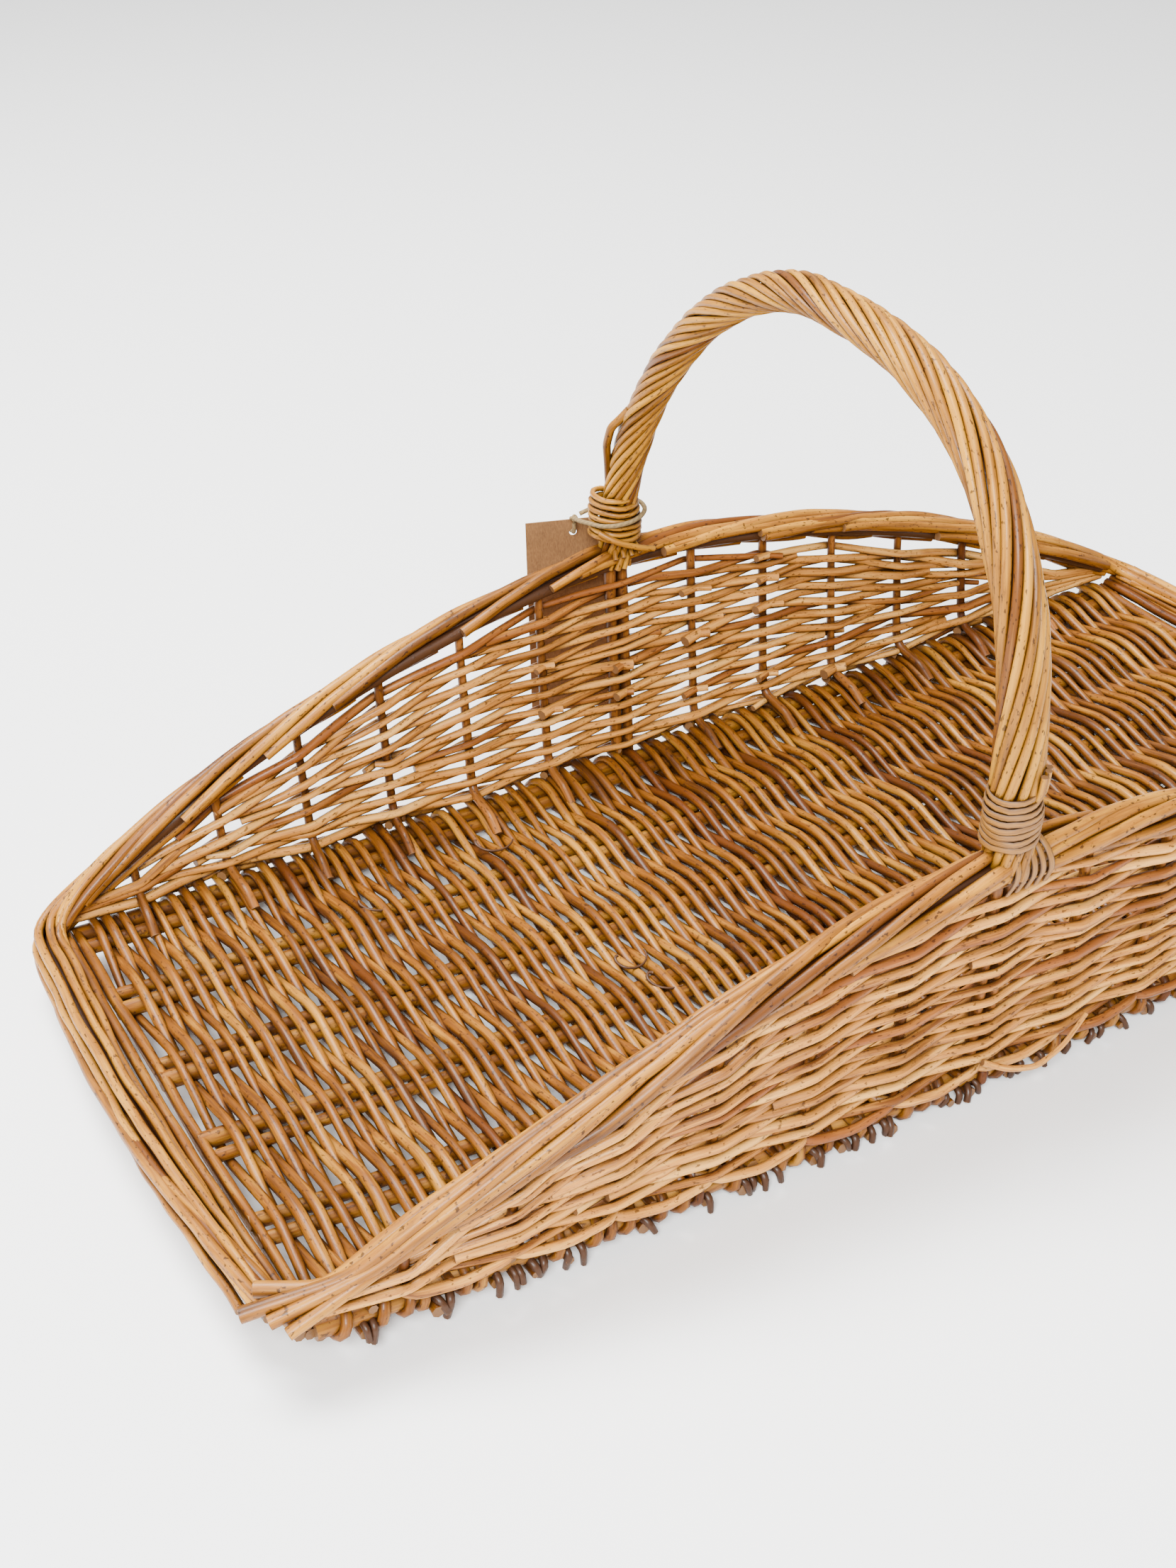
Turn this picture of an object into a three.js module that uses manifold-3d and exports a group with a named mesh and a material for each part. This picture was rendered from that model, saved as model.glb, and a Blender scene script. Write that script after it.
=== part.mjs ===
// A rectangular willow market basket, in millimetres, +Z up.
// The origin is on the ground under the middle of the base, +X runs along the length.
// Lengthwise base sticks carry a woven base, upright stakes carry the side weave, a rolled
// border runs round the rim, and a roped bow handle is lashed over the border. A card tag
// hangs from a twine tied round the back lashing and is the only piece that moves.
import * as THREE from 'three';
import { mergeVertices } from 'three/addons/utils/BufferGeometryUtils.js';
import Module from 'manifold-3d';

const wasm = await Module();
wasm.setup();

// Clearance between touching pieces
const GAP = 0.3;

// Base
const BASE_HALF_LENGTH = 348;
const BASE_HALF_WIDTH = 163.5;      // at the two ends
const SIDE_BOW = 6.5;               // extra half width in the middle of a long side
const BASE_THICKNESS = 14;
const FLAT_HALF_LENGTH = 70;        // the base lies flat this far each way
const END_LIFT = 12;               // and then rises this much to its ends
const LIFT_POWER = 1.6;
const BASE_STATIONS = 10;

// Lengthwise base sticks, laid in pairs
const INNER_PAIR_ROWS = [-90, -30, 30, 90];
const EDGE_PAIR_INSET = 16;         // from the base's edge to the middle of the outer pairs
const EDGE_PAIR_ROW = BASE_HALF_WIDTH - EDGE_PAIR_INSET;
const STICK_PAIR_ROWS = [-EDGE_PAIR_ROW, ...INNER_PAIR_ROWS, EDGE_PAIR_ROW];
const STICK_RADIUS = 4.4;
const EDGE_STICK_RADIUS = 5.1;
const STICK_PAIR_CLEARANCE = 2.4;   // between the two sticks of an edge pair
const STICK_PAIR_HALF_SPACING = EDGE_STICK_RADIUS + STICK_PAIR_CLEARANCE / 2;
const STICK_TUNNEL_CLEARANCE = 0.45;
const STICK_SIDES = 6;

// Rim and border
const BORDER_RADIUS = 11;
const END_WEAVE_ROOM = 5;           // from the base's end to the border's inner face, at the corners
const RIM_HALF_LENGTH = BASE_HALF_LENGTH + 2 * BORDER_RADIUS + END_WEAVE_ROOM;
const RIM_END_BOW = 8.5;            // the short ends bulge this much in the middle
const BORDER_SET_IN = 5.9;          // the long borders' inner faces stand this far inside the base's ends
const RIM_HALF_WIDTH = BASE_HALF_WIDTH - BORDER_SET_IN + 2 * BORDER_RADIUS;
const RIM_CORNER_TUCK = 16.7;       // the long sides draw in this much at the corners
const RIM_TOP_MIDDLE = 151.4;
const RIM_FALL_POWER = 1.7;
const BORDER_OVER_BASE = 1.72;      // the long borders pass over the base's ends with this much air
const BORDER_END_SLANT = 1.11;      // height of a slice through the sloping border, over its diameter
const RIM_FALL_AT_BASE_END = (BASE_HALF_LENGTH / RIM_HALF_LENGTH) ** RIM_FALL_POWER;
const BORDER_TOP_AT_BASE_END =
  BASE_THICKNESS + END_LIFT + BORDER_OVER_BASE + 2 * BORDER_RADIUS * BORDER_END_SLANT;
const RIM_TOP_END =
  (BORDER_TOP_AT_BASE_END - RIM_TOP_MIDDLE * (1 - RIM_FALL_AT_BASE_END)) / RIM_FALL_AT_BASE_END;
const BORDER_SIDES = 8;
const BORDER_STATIONS = 16;
const BORDER_STEPS = 26;
const END_STATIONS = 6;

// Side weave and stakes
const SIDE_WEAVE_THICKNESS = 13;
const SIDE_WEAVE_MARGIN = 26;       // it stops this far short of the base's ends
const SIDE_WEAVE_HALF_LENGTH = BASE_HALF_LENGTH - SIDE_WEAVE_MARGIN;
const WEAVE_ABOVE_BASE = 5;
const WEAVE_BELOW_BORDER = 1;
const SIDE_WEAVE_SET_IN = 7;        // its foot stands this far inside the base's edge
const SIDE_STATIONS = 12;
const STAKE_RADIUS = 2.3;
const STAKE_TUNNEL_CLEARANCE = 0.36;
const STAKE_FOOT_LENGTH = 22;       // each stake turns in over the edge sticks at its foot
const STAKE_FOOT_TURN = 0.3;        // share of the foot in which it turns
const STAKE_FOOT_RISE = 0.5;
const STAKE_END_MARGIN = 10;
const STAKES_EACH_WAY = 6;          // from the handle's foot to either end of a side
const STAKE_SIDES = 6;
const STAKE_STEPS = 7;
const END_WEAVE_THICKNESS = 11;
const END_WEAVE_BELOW_BASE = 3.8;    // its foot is this far under the base's top

// Bow handle
const HANDLE_X = -12;
const HANDLE_LEAN = 11;             // its top stands this much nearer the right end
const HANDLE_RISE = 192.3;          // from the rim to the roping's middle at the top
const HANDLE_TOP = RIM_TOP_MIDDLE + HANDLE_RISE;
const HANDLE_SET_OUT = 0.4;         // its feet stand this far outside the border's middle
const HANDLE_HALF_SPAN = RIM_HALF_WIDTH - BORDER_RADIUS + HANDLE_SET_OUT;
const HANDLE_FRONT_SQUARENESS = 2.65;
const HANDLE_BACK_SQUARENESS = 1.8;
const BOW_ROD_RADIUS = 3.5;
const BOW_ROD_HALF_SPACING = BOW_ROD_RADIUS + GAP;
const BOW_ROD_CLEARANCE = 0.4;
const BOW_SIDES = 6;
const BOW_STEPS = 40;
const ARCH_START = 0.16;            // radians above the foot
const ARCH_STATIONS = 14;
const ROPING_RADIUS = 11;
const ROPING_BORE_CLEARANCE = 0.9;
const ROPING_SIDES = 10;
const ROPING_STEPS = 26;
const BORE_SIDES = 8;

// Lashings
const LASHING_WALL = 2.4;
const LASHING_RADIUS = ROPING_RADIUS + LASHING_WALL;
const LASHING_BULGE = 0.5;
const LASHING_SIDES = 12;
const LASHING_STEPS = 4;
const LASHING_HEIGHT = 30;
const LASHING_ABOVE_RIM = 2.6;
const STRAND_THICKNESS = 1.6;
const STRAND_BAND_WIDTH = 24;
const STRAND_TOP_ANGLE = 60;        // degrees round the border, outwards from its top
const STRAND_LOW_ANGLE = -42;
const STRAND_ARC_STATIONS = 8;

// Twine and tag
const TWINE_RADIUS = 1.3;
const TWINE_KNOT_RADIUS = 2.6;
const TWINE_END_KNOT_RADIUS = 3.2;
const TWINE_BEND = 5.2;
const TWINE_SIDES = 8;
const TWINE_STEPS = 30;
const DROP_STEPS = 8;
const TAG_HOLE = [-24, 195, 149];
const TAG_TURN = -20;               // degrees about +Z
const TAG_WIDTH = 54;
const TAG_LENGTH = 125;
const TAG_THICKNESS = 0.8;
const TAG_HOLE_RADIUS = 2.2;
const TAG_HOLE_SIDES = 12;
const TAG_HOLE_TO_TOP = 8;
const TAG_DROP = 8.2;               // from the twine's knot down to its bend

const basket = new THREE.Group();

// Finishes
function finish(hex, roughness) {
  return new THREE.MeshStandardMaterial({ color: hex, roughness, metalness: 0 });
}
const buffWillow = finish(0xc08a4a, 0.45);
const darkWillow = finish(0x8f5c2c, 0.5);
const splitWillow = finish(0xb98549, 0.55);
const juteTwine = finish(0xa58a63, 0.9);
const kraftCard = finish(0xa98459, 0.85);

// Shape helpers
const vec = (x, y, z) => new THREE.Vector3(x, y, z);

function ringPoints(radius, sides, centreX = 0) {
  const points = [];
  for (let i = 0; i < sides; i += 1) {
    const angle = (2 * Math.PI * i) / sides;
    points.push(new THREE.Vector2(centreX + radius * Math.cos(angle), radius * Math.sin(angle)));
  }
  return points;
}

function sweep(section, points, steps) {
  const extrudePath = new THREE.CatmullRomCurve3(points);
  return new THREE.ExtrudeGeometry(section, { steps, extrudePath, bevelEnabled: false });
}

function rod(points, radius, sides, steps) {
  return sweep(new THREE.Shape(ringPoints(radius, sides)), points, steps);
}

// A box cut into nx, ny and nz pieces, each corner placed by a function of -1..1, -1..1, 0..1
function bentBox(nx, ny, nz, place) {
  const geometry = new THREE.BoxGeometry(2, 2, 1, nx, ny, nz);
  const position = geometry.attributes.position;
  for (let i = 0; i < position.count; i += 1) {
    const corner = place(position.getX(i), position.getY(i), position.getZ(i) + 0.5);
    position.setXYZ(i, corner.x, corner.y, corner.z);
  }
  return geometry;
}

function toSolid(geometry) {
  const bare = geometry.clone();
  bare.deleteAttribute('normal');
  bare.deleteAttribute('uv');
  const merged = mergeVertices(bare, 1e-4);
  const vertProperties = new Float32Array(merged.attributes.position.array);
  const triVerts = new Uint32Array(merged.index.array);
  return new wasm.Manifold(new wasm.Mesh({ numProp: 3, vertProperties, triVerts }));
}

function cut(geometry, cutters) {
  let solid = toSolid(geometry);
  for (const cutter of cutters) {
    solid = solid.subtract(toSolid(cutter));
  }
  const mesh = solid.getMesh();
  const result = new THREE.BufferGeometry();
  result.setAttribute('position', new THREE.BufferAttribute(new Float32Array(mesh.vertProperties), 3));
  result.setIndex(new THREE.BufferAttribute(new Uint32Array(mesh.triVerts), 1));
  result.computeVertexNormals();
  return result;
}

function add(name, geometry, material, parent = basket) {
  const mesh = new THREE.Mesh(geometry, material);
  mesh.name = name;
  parent.add(mesh);
  return mesh;
}

function stations(from, to, count) {
  return Array.from({ length: count + 1 }, (_, i) => from + ((to - from) * i) / count);
}

// The basket's own curves
function baseLift(x) {
  const along = Math.max(0, Math.abs(x) - FLAT_HALF_LENGTH) / (BASE_HALF_LENGTH - FLAT_HALF_LENGTH);
  return END_LIFT * along ** LIFT_POWER;
}

function baseTop(x) {
  return baseLift(x) + BASE_THICKNESS;
}

function baseSide(x) {
  return BASE_HALF_WIDTH + SIDE_BOW * (1 - (x / BASE_HALF_LENGTH) ** 2);
}

function rimTop(x) {
  const along = Math.abs(x) / RIM_HALF_LENGTH;
  return RIM_TOP_END + (RIM_TOP_MIDDLE - RIM_TOP_END) * (1 - along ** RIM_FALL_POWER);
}

// Half the border's height measured straight up, which grows where the rim slopes
function borderRise(x) {
  const slope = (rimTop(x + 1) - rimTop(x - 1)) / 2;
  return BORDER_RADIUS * Math.hypot(1, slope);
}

function borderSide(x) {
  return RIM_HALF_WIDTH - RIM_CORNER_TUCK * (x / RIM_HALF_LENGTH) ** 4 - BORDER_RADIUS;
}

function borderEnd(y) {
  const across = y / (RIM_HALF_WIDTH - RIM_CORNER_TUCK);
  return RIM_HALF_LENGTH + RIM_END_BOW * (1 - across ** 2) - BORDER_RADIUS;
}

// The middle of a side wall's thickness, from its foot (0) to the border (1)
function wallSide(x, up) {
  return THREE.MathUtils.lerp(baseSide(x) - SIDE_WEAVE_SET_IN, borderSide(x), up);
}

function weaveFoot(x) {
  return baseTop(x) + WEAVE_ABOVE_BASE;
}

function weaveHead(x) {
  return rimTop(x) - 2 * borderRise(x) - WEAVE_BELOW_BORDER;
}

// Base sticks and base weave
function stickPath(row, from, to) {
  return stations(from, to, BASE_STATIONS).map((x) => {
    const y = (row * baseSide(x)) / BASE_HALF_WIDTH;
    return vec(x, y, baseLift(x) + BASE_THICKNESS / 2);
  });
}

function makeBase() {
  const tunnels = [];
  let number = 0;
  for (const pairRow of STICK_PAIR_ROWS) {
    for (const side of [-1, 1]) {
      const row = pairRow + side * STICK_PAIR_HALF_SPACING;
      const isEdge = Math.abs(pairRow) === EDGE_PAIR_ROW;
      const radius = isEdge ? EDGE_STICK_RADIUS : STICK_RADIUS;
      const end = BASE_HALF_LENGTH - GAP;
      const past = BASE_HALF_LENGTH + 2 * STICK_RADIUS;
      number += 1;
      const name = `base_stick_${String(number).padStart(2, '0')}`;
      add(name, rod(stickPath(row, -end, end), radius, STICK_SIDES, BASE_STATIONS), buffWillow);
      const bore = radius + STICK_TUNNEL_CLEARANCE;
      tunnels.push(rod(stickPath(row, -past, past), bore, STICK_SIDES, BASE_STATIONS));
    }
  }
  const slab = bentBox(BASE_STATIONS, 2, 1, (u, v, w) => {
    const x = u * BASE_HALF_LENGTH;
    return vec(x, v * baseSide(x), baseLift(x) + w * BASE_THICKNESS);
  });
  add('base_weave', cut(slab, tunnels), buffWillow);
}

// Bow handle: a point on its middle line, angle 0 at the back foot and pi at the front foot
function handlePoint(angle, offset = 0) {
  const across = Math.cos(angle);
  const up = Math.sin(angle);
  const power = 2 / (across > 0 ? HANDLE_BACK_SQUARENESS : HANDLE_FRONT_SQUARENESS);
  const rise = (HANDLE_TOP - RIM_TOP_MIDDLE) * up ** power;
  const y = HANDLE_HALF_SPAN * Math.sign(across) * Math.abs(across) ** power;
  return vec(HANDLE_X + HANDLE_LEAN * up + offset, y, RIM_TOP_MIDDLE + rise);
}

const ARCH_ANGLES = stations(ARCH_START, Math.PI - ARCH_START, ARCH_STATIONS);

function footPoint(side, z, offset = 0) {
  return vec(HANDLE_X + offset, side * HANDLE_HALF_SPAN, z);
}

function bowPath(offset) {
  const x = HANDLE_X + offset;
  const leg = (side) => [
    vec(x, side * wallSide(x, 0), baseTop(x) + 2 * GAP),
    vec(x, side * wallSide(x, 0.5), (weaveFoot(x) + weaveHead(x)) / 2),
    vec(x, side * wallSide(x, 1), weaveHead(x)),
    footPoint(side, RIM_TOP_MIDDLE, offset),
  ];
  const arch = ARCH_ANGLES.map((angle) => handlePoint(angle, offset));
  return [...leg(1), ...arch, ...leg(-1).reverse()];
}

function bowRod(offset, extra) {
  return rod(bowPath(offset), BOW_ROD_RADIUS + extra, BOW_SIDES, BOW_STEPS);
}

const bowOffsets = [-BOW_ROD_HALF_SPACING, BOW_ROD_HALF_SPACING];
const bowCutters = bowOffsets.map((offset) => bowRod(offset, BOW_ROD_CLEARANCE));

function ropingPath() {
  const foot = RIM_TOP_MIDDLE + LASHING_ABOVE_RIM;
  const arch = ARCH_ANGLES.map((angle) => handlePoint(angle));
  return [footPoint(1, foot), ...arch, footPoint(-1, foot)];
}

function makeHandle() {
  bowOffsets.forEach((offset, i) => add(`handle_bow_${i + 1}`, bowRod(offset, 0), darkWillow));
  const bore = BOW_ROD_RADIUS + ROPING_BORE_CLEARANCE;
  const section = new THREE.Shape(ringPoints(ROPING_RADIUS, ROPING_SIDES));
  const quarter = BORE_SIDES / 4;
  const left = ringPoints(bore, BORE_SIDES, -BOW_ROD_HALF_SPACING).slice(quarter, 3 * quarter + 1);
  const rightRing = ringPoints(bore, BORE_SIDES, BOW_ROD_HALF_SPACING);
  const right = [...rightRing.slice(3 * quarter), ...rightRing.slice(0, quarter + 1)];
  section.holes.push(new THREE.Path([...left, ...right]));
  add('handle_roping', sweep(section, ropingPath(), ROPING_STEPS), buffWillow);
}

// Side walls: stakes, weave and long borders
function stakePath(x, side) {
  const lowest = baseTop(x) + STAKE_RADIUS + 2 * GAP;
  const foot = weaveFoot(x);
  const head = weaveHead(x) - GAP;
  const wallFoot = wallSide(x, 0);
  return [
    vec(x, side * (wallFoot - STAKE_FOOT_LENGTH), lowest),
    vec(x, side * (wallFoot - STAKE_FOOT_TURN * STAKE_FOOT_LENGTH), lowest + STAKE_FOOT_RISE),
    vec(x, side * wallFoot, foot + 2 * STAKE_RADIUS),
    vec(x, side * wallSide(x, 0.5), (foot + head) / 2),
    vec(x, side * wallSide(x, 1), head),
  ];
}

function stakePlaces() {
  const reach = SIDE_WEAVE_HALF_LENGTH - STAKE_END_MARGIN - Math.abs(HANDLE_X);
  return stations(-reach, reach, 2 * STAKES_EACH_WAY)
    .filter((_, k) => k !== STAKES_EACH_WAY)
    .map((place) => HANDLE_X + place);
}

function makeSide(side, label) {
  const cutters = [...bowCutters];
  stakePlaces().forEach((x, i) => {
    const name = `stake_${label}_${String(i + 1).padStart(2, '0')}`;
    add(name, rod(stakePath(x, side), STAKE_RADIUS, STAKE_SIDES, STAKE_STEPS), darkWillow);
    const bore = STAKE_RADIUS + STAKE_TUNNEL_CLEARANCE;
    cutters.push(rod(stakePath(x, side), bore, STAKE_SIDES, STAKE_STEPS));
  });
  const weave = bentBox(SIDE_STATIONS, 1, 3, (u, v, w) => {
    const x = u * SIDE_WEAVE_HALF_LENGTH;
    const y = side * wallSide(x, w) + (v * SIDE_WEAVE_THICKNESS) / 2;
    return vec(x, y, THREE.MathUtils.lerp(weaveFoot(x), weaveHead(x), w));
  });
  add(`side_weave_${label}`, cut(weave, cutters), buffWillow);

  const end = borderEnd(borderSide(RIM_HALF_LENGTH)) - BORDER_RADIUS - GAP;
  const path = stations(-end, end, BORDER_STATIONS).map(
    (x) => vec(x, side * borderSide(x), rimTop(x) - borderRise(x)),
  );
  const border = rod(path, BORDER_RADIUS, BORDER_SIDES, BORDER_STEPS);
  add(`border_${label}`, cut(border, bowCutters), buffWillow);
}

// Low ends: a little weave and the end borders
function makeEnd(side, label) {
  const reach = RIM_HALF_WIDTH - RIM_CORNER_TUCK;
  const path = stations(-reach, reach, END_STATIONS).map(
    (y) => vec(side * borderEnd(y), y, RIM_TOP_END - BORDER_RADIUS),
  );
  add(`border_${label}`, rod(path, BORDER_RADIUS, BORDER_SIDES, END_STATIONS), buffWillow);

  const inner = BASE_HALF_LENGTH + GAP;
  const halfWidth = borderSide(RIM_HALF_LENGTH) - BORDER_RADIUS - GAP;
  const low = baseTop(BASE_HALF_LENGTH) - END_WEAVE_BELOW_BASE;
  const weave = bentBox(1, END_STATIONS, 1, (u, v, w) => {
    const y = v * halfWidth;
    const outer = borderEnd(y) - BORDER_RADIUS - 2 * GAP;
    const x = THREE.MathUtils.lerp(inner, outer, (u * side + 1) / 2);
    return vec(side * x, y, low + w * END_WEAVE_THICKNESS);
  });
  add(`end_weave_${label}`, weave, buffWillow);
}

// Lashings that tie the handle's feet to the border
function makeLashing(side, label) {
  const low = RIM_TOP_MIDDLE + LASHING_ABOVE_RIM;
  const squareness = side > 0 ? HANDLE_BACK_SQUARENESS : HANDLE_FRONT_SQUARENESS;
  const rise = LASHING_HEIGHT / (HANDLE_TOP - RIM_TOP_MIDDLE);
  const angle = Math.asin(rise ** (squareness / 2));
  const head = handlePoint(side > 0 ? angle : Math.PI - angle);
  const middle = footPoint(side, low).lerp(head, 0.5);
  middle.y += side * LASHING_BULGE;
  const wraps = rod([footPoint(side, low), middle, head], LASHING_RADIUS, LASHING_SIDES, LASHING_STEPS);
  const leg = rod(ropingPath(), ROPING_RADIUS + GAP, ROPING_SIDES, ROPING_STEPS);
  leg.translate(0, 0, -GAP);
  add(`handle_lashing_${label}`, cut(wraps, [leg]), splitWillow);

  const inner = BORDER_RADIUS + GAP;
  const outer = inner + STRAND_THICKNESS;
  const degrees = stations(STRAND_LOW_ANGLE, STRAND_TOP_ANGLE, STRAND_ARC_STATIONS);
  const arc = degrees.map(THREE.MathUtils.degToRad);
  const at = (radius) => (a) => new THREE.Vector2(side * radius * Math.cos(a), radius * Math.sin(a));
  const band = new THREE.Shape([...arc.map(at(outer)), ...[...arc].reverse().map(at(inner))]);
  const geometry = new THREE.ExtrudeGeometry(band, { depth: STRAND_BAND_WIDTH, bevelEnabled: false });
  geometry.applyMatrix4(new THREE.Matrix4().makeBasis(vec(0, 1, 0), vec(0, 0, 1), vec(1, 0, 0)));
  const strands = add(`lashing_strands_${label}`, geometry, splitWillow);
  const centre = rimTop(HANDLE_X) - borderRise(HANDLE_X);
  strands.position.set(HANDLE_X - STRAND_BAND_WIDTH / 2, side * borderSide(HANDLE_X), centre);
}

// Twine round the back lashing, and the card tag on it
function makeTwine() {
  const wrap = [
    vec(-27.5, 186.6, 161.8),
    vec(-28.9, 178.7, 164),
    vec(-27.4, 169.5, 166),
    vec(-24.9, 160.6, 167.3),
    vec(-19.5, 154.8, 168.6),
    vec(-11, 152.1, 170),
    vec(-3, 154.3, 171),
    vec(2.5, 159.8, 171.6),
    vec(4.8, 168.5, 171.4),
    vec(3.1, 176.6, 170.4),
    vec(-3.2, 182.6, 168.6),
    vec(-13, 187.1, 165.6),
    vec(-22.4, 189.9, 162),
  ];
  add('twine_wrap', rod(wrap, TWINE_RADIUS, TWINE_SIDES, TWINE_STEPS), juteTwine);

  const tagGroup = new THREE.Group();
  tagGroup.position.set(...TAG_HOLE);
  tagGroup.rotation.z = THREE.MathUtils.degToRad(TAG_TURN);
  basket.add(tagGroup);

  const knotHeight = TAG_DROP + GAP + TWINE_KNOT_RADIUS;
  const knot = add('twine_knot', new THREE.IcosahedronGeometry(TWINE_KNOT_RADIUS, 1), juteTwine, tagGroup);
  knot.position.set(0, -TWINE_BEND, knotHeight);

  const drop = [
    vec(0, -TWINE_BEND, TAG_DROP),
    vec(0, -TWINE_BEND, TWINE_BEND),
    vec(0, -Math.SQRT1_2 * TWINE_BEND, (1 - Math.SQRT1_2) * TWINE_BEND),
    vec(0, 0, 0),
    vec(0, TAG_THICKNESS, 0),
  ];
  add('twine_drop', rod(drop, TWINE_RADIUS, TWINE_SIDES, DROP_STEPS), juteTwine, tagGroup);

  const endGeometry = new THREE.IcosahedronGeometry(TWINE_END_KNOT_RADIUS, 1);
  const endKnot = add('twine_end_knot', endGeometry, juteTwine, tagGroup);
  endKnot.position.set(0, TAG_THICKNESS + GAP + TWINE_END_KNOT_RADIUS, 0);

  const card = new THREE.Shape([
    new THREE.Vector2(-TAG_WIDTH / 2, TAG_HOLE_TO_TOP),
    new THREE.Vector2(-TAG_WIDTH / 2, TAG_HOLE_TO_TOP - TAG_LENGTH),
    new THREE.Vector2(TAG_WIDTH / 2, TAG_HOLE_TO_TOP - TAG_LENGTH),
    new THREE.Vector2(TAG_WIDTH / 2, TAG_HOLE_TO_TOP),
  ]);
  card.holes.push(new THREE.Path(ringPoints(TAG_HOLE_RADIUS, TAG_HOLE_SIDES)));
  const geometry = new THREE.ExtrudeGeometry(card, { depth: TAG_THICKNESS, bevelEnabled: false });
  geometry.rotateX(Math.PI / 2);
  geometry.translate(0, TAG_THICKNESS / 2, 0);
  add('swing_tag', geometry, kraftCard, tagGroup);
}

makeBase();
makeHandle();
makeSide(-1, 'front');
makeSide(1, 'back');
makeEnd(-1, 'left');
makeEnd(1, 'right');
makeLashing(-1, 'front');
makeLashing(1, 'back');
makeTwine();

export default basket;
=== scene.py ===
"""A woven willow market basket: low ends, high bowed sides, a roped bow handle, a card tag on jute twine.

Every rod is a centre line worked out here from the basket's sizes; one geometry node tree gives the lines
their thickness. Metres throughout: x along the basket, y across it, z up, with the floor at z = 0.
"""
import math
import random

import bpy
import numpy as np
from mathutils import Matrix, Vector


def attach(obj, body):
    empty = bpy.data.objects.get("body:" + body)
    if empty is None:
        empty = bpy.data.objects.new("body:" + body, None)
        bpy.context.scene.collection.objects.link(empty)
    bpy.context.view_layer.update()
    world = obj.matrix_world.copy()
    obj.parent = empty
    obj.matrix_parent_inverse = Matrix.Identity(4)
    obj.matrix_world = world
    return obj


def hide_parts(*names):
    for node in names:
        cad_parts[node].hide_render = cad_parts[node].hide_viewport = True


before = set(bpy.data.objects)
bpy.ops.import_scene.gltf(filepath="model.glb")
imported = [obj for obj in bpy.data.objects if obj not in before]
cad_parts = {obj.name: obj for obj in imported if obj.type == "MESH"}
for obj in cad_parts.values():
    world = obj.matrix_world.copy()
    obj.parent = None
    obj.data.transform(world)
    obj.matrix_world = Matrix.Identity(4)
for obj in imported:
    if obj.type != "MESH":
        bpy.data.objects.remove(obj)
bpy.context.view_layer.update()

MM = 0.001

# Base: lengthwise stick pairs, with weavers across them.
BASE_HALF_LENGTH = 348 * MM
BASE_HALF_WIDTH = 163.5 * MM
SIDE_BOW = 6.5 * MM
BASE_THICKNESS = 14 * MM
FLAT_HALF_LENGTH = 70 * MM
END_LIFT = 12 * MM
LIFT_POWER = 1.6
STICK_PAIR_ROWS = [-147.5 * MM, -90 * MM, -30 * MM, 30 * MM, 90 * MM, 147.5 * MM]
STICK_PAIR_HALF_SPACING = 6.3 * MM
STICK_HEIGHT = 9.0 * MM
STICK_RADII = (4.3 * MM, 3.7 * MM)
EDGE_STICK_RADII = (4.1 * MM, 5.1 * MM)
WEAVER_PITCH = 4.5 * MM
WEAVER_OVER = 6.7 * MM
WEAVER_UNDER = 5.4 * MM
WEAVER_SWING = 0.4 * MM
WEAVER_RADIUS = 2.75 * MM
EDGE_GATHER = 1.6 * MM
EDGE_TURN_RADIUS = 7.5 * MM
# Dry curls of bark caught in the weave: x and y in mm, half turns and size.
BARK_CURLS = ((-130, 115, 1.3, 6), (-118, -12, 1.8, 5), (-112, -34, 1.2, 7), (-212, 95, 1.0, 5))
BARK_CURL_HEIGHT = 18.5 * MM

# Rim and border.
RIM_HALF_LENGTH = 375 * MM
RIM_END_BOW = 8.5 * MM
RIM_HALF_WIDTH = 179.6 * MM
RIM_CORNER_TUCK = 16.7 * MM
RIM_TOP_MIDDLE = 151.4 * MM
RIM_TOP_END = 38.7 * MM
RIM_FALL_POWER = 1.7
BORDER_RADIUS = 11 * MM
BORDER_CORNER_X = 352.7 * MM
BORDER_CORNER_Y = 162.9 * MM
STRAND_RADIUS = 3.3 * MM
STRAND_LENGTH = 245 * MM
END_STRAND_SHARE = 0.84
CORE_RADIUS = 3.6 * MM
CORE_OFFSET = 2.2 * MM
# Where the four free butts at a front corner reach, from the border's centre line, in mm.
FREE_BUTTS = ((5, 13, 15), (-5, 5, 13), (4, -4, 12), (9, -11, 9))
# How far before its end each rod along an end stops.
END_STRAND_STOPS = (36 * MM, 30 * MM, 22 * MM, 16 * MM, 14 * MM, 20 * MM)
# The tint of rods that are dark brown all over: painted shade for the core and filler rods seen in gaps, and
# the dark colour of the bark curls and the weavers' cut tips.
SHADE_AND_BARK_TINT = 1.4

# Side walls.
SIDE_WEAVE_HALF_LENGTH = 322 * MM
ROWS_END = 350 * MM
ROWS_KEPT = 5
WEAVE_ABOVE_BASE = 5 * MM
WEAVE_BELOW_BORDER = 1 * MM
SIDE_WEAVE_SET_IN = 7 * MM
STAKE_RADIUS = 2.5 * MM
STAKE_PITCH = 50 * MM
STAKES_EACH_WAY = 6
STAKE_FOOT_LENGTH = 34 * MM
ROW_PITCH = 4.35 * MM
END_ROW_PITCH = 3.5 * MM
ROW_RADIUS = 2.4 * MM
ROW_OFFSET = 4.5 * MM
# A row thins out over this length before it stops.
ROW_FADE = 60 * MM
# A rod of the chain along the foot: the share of its length, how far out and how high, in mm.
FOOT_CHAIN = ((0, -3, 0.5), (0.12, 4.5, -0.5), (0.5, 5.5, -3.5), (0.88, 4.5, 0.5), (1, -3, 2))
# A split twig that has sprung out of the front foot, in mm.
SPRUNG_TWIG = ((-14, -171, 25), (-2, -176, 19), (14, -178.5, 15), (32, -176, 18), (50, -171, 27))
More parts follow.
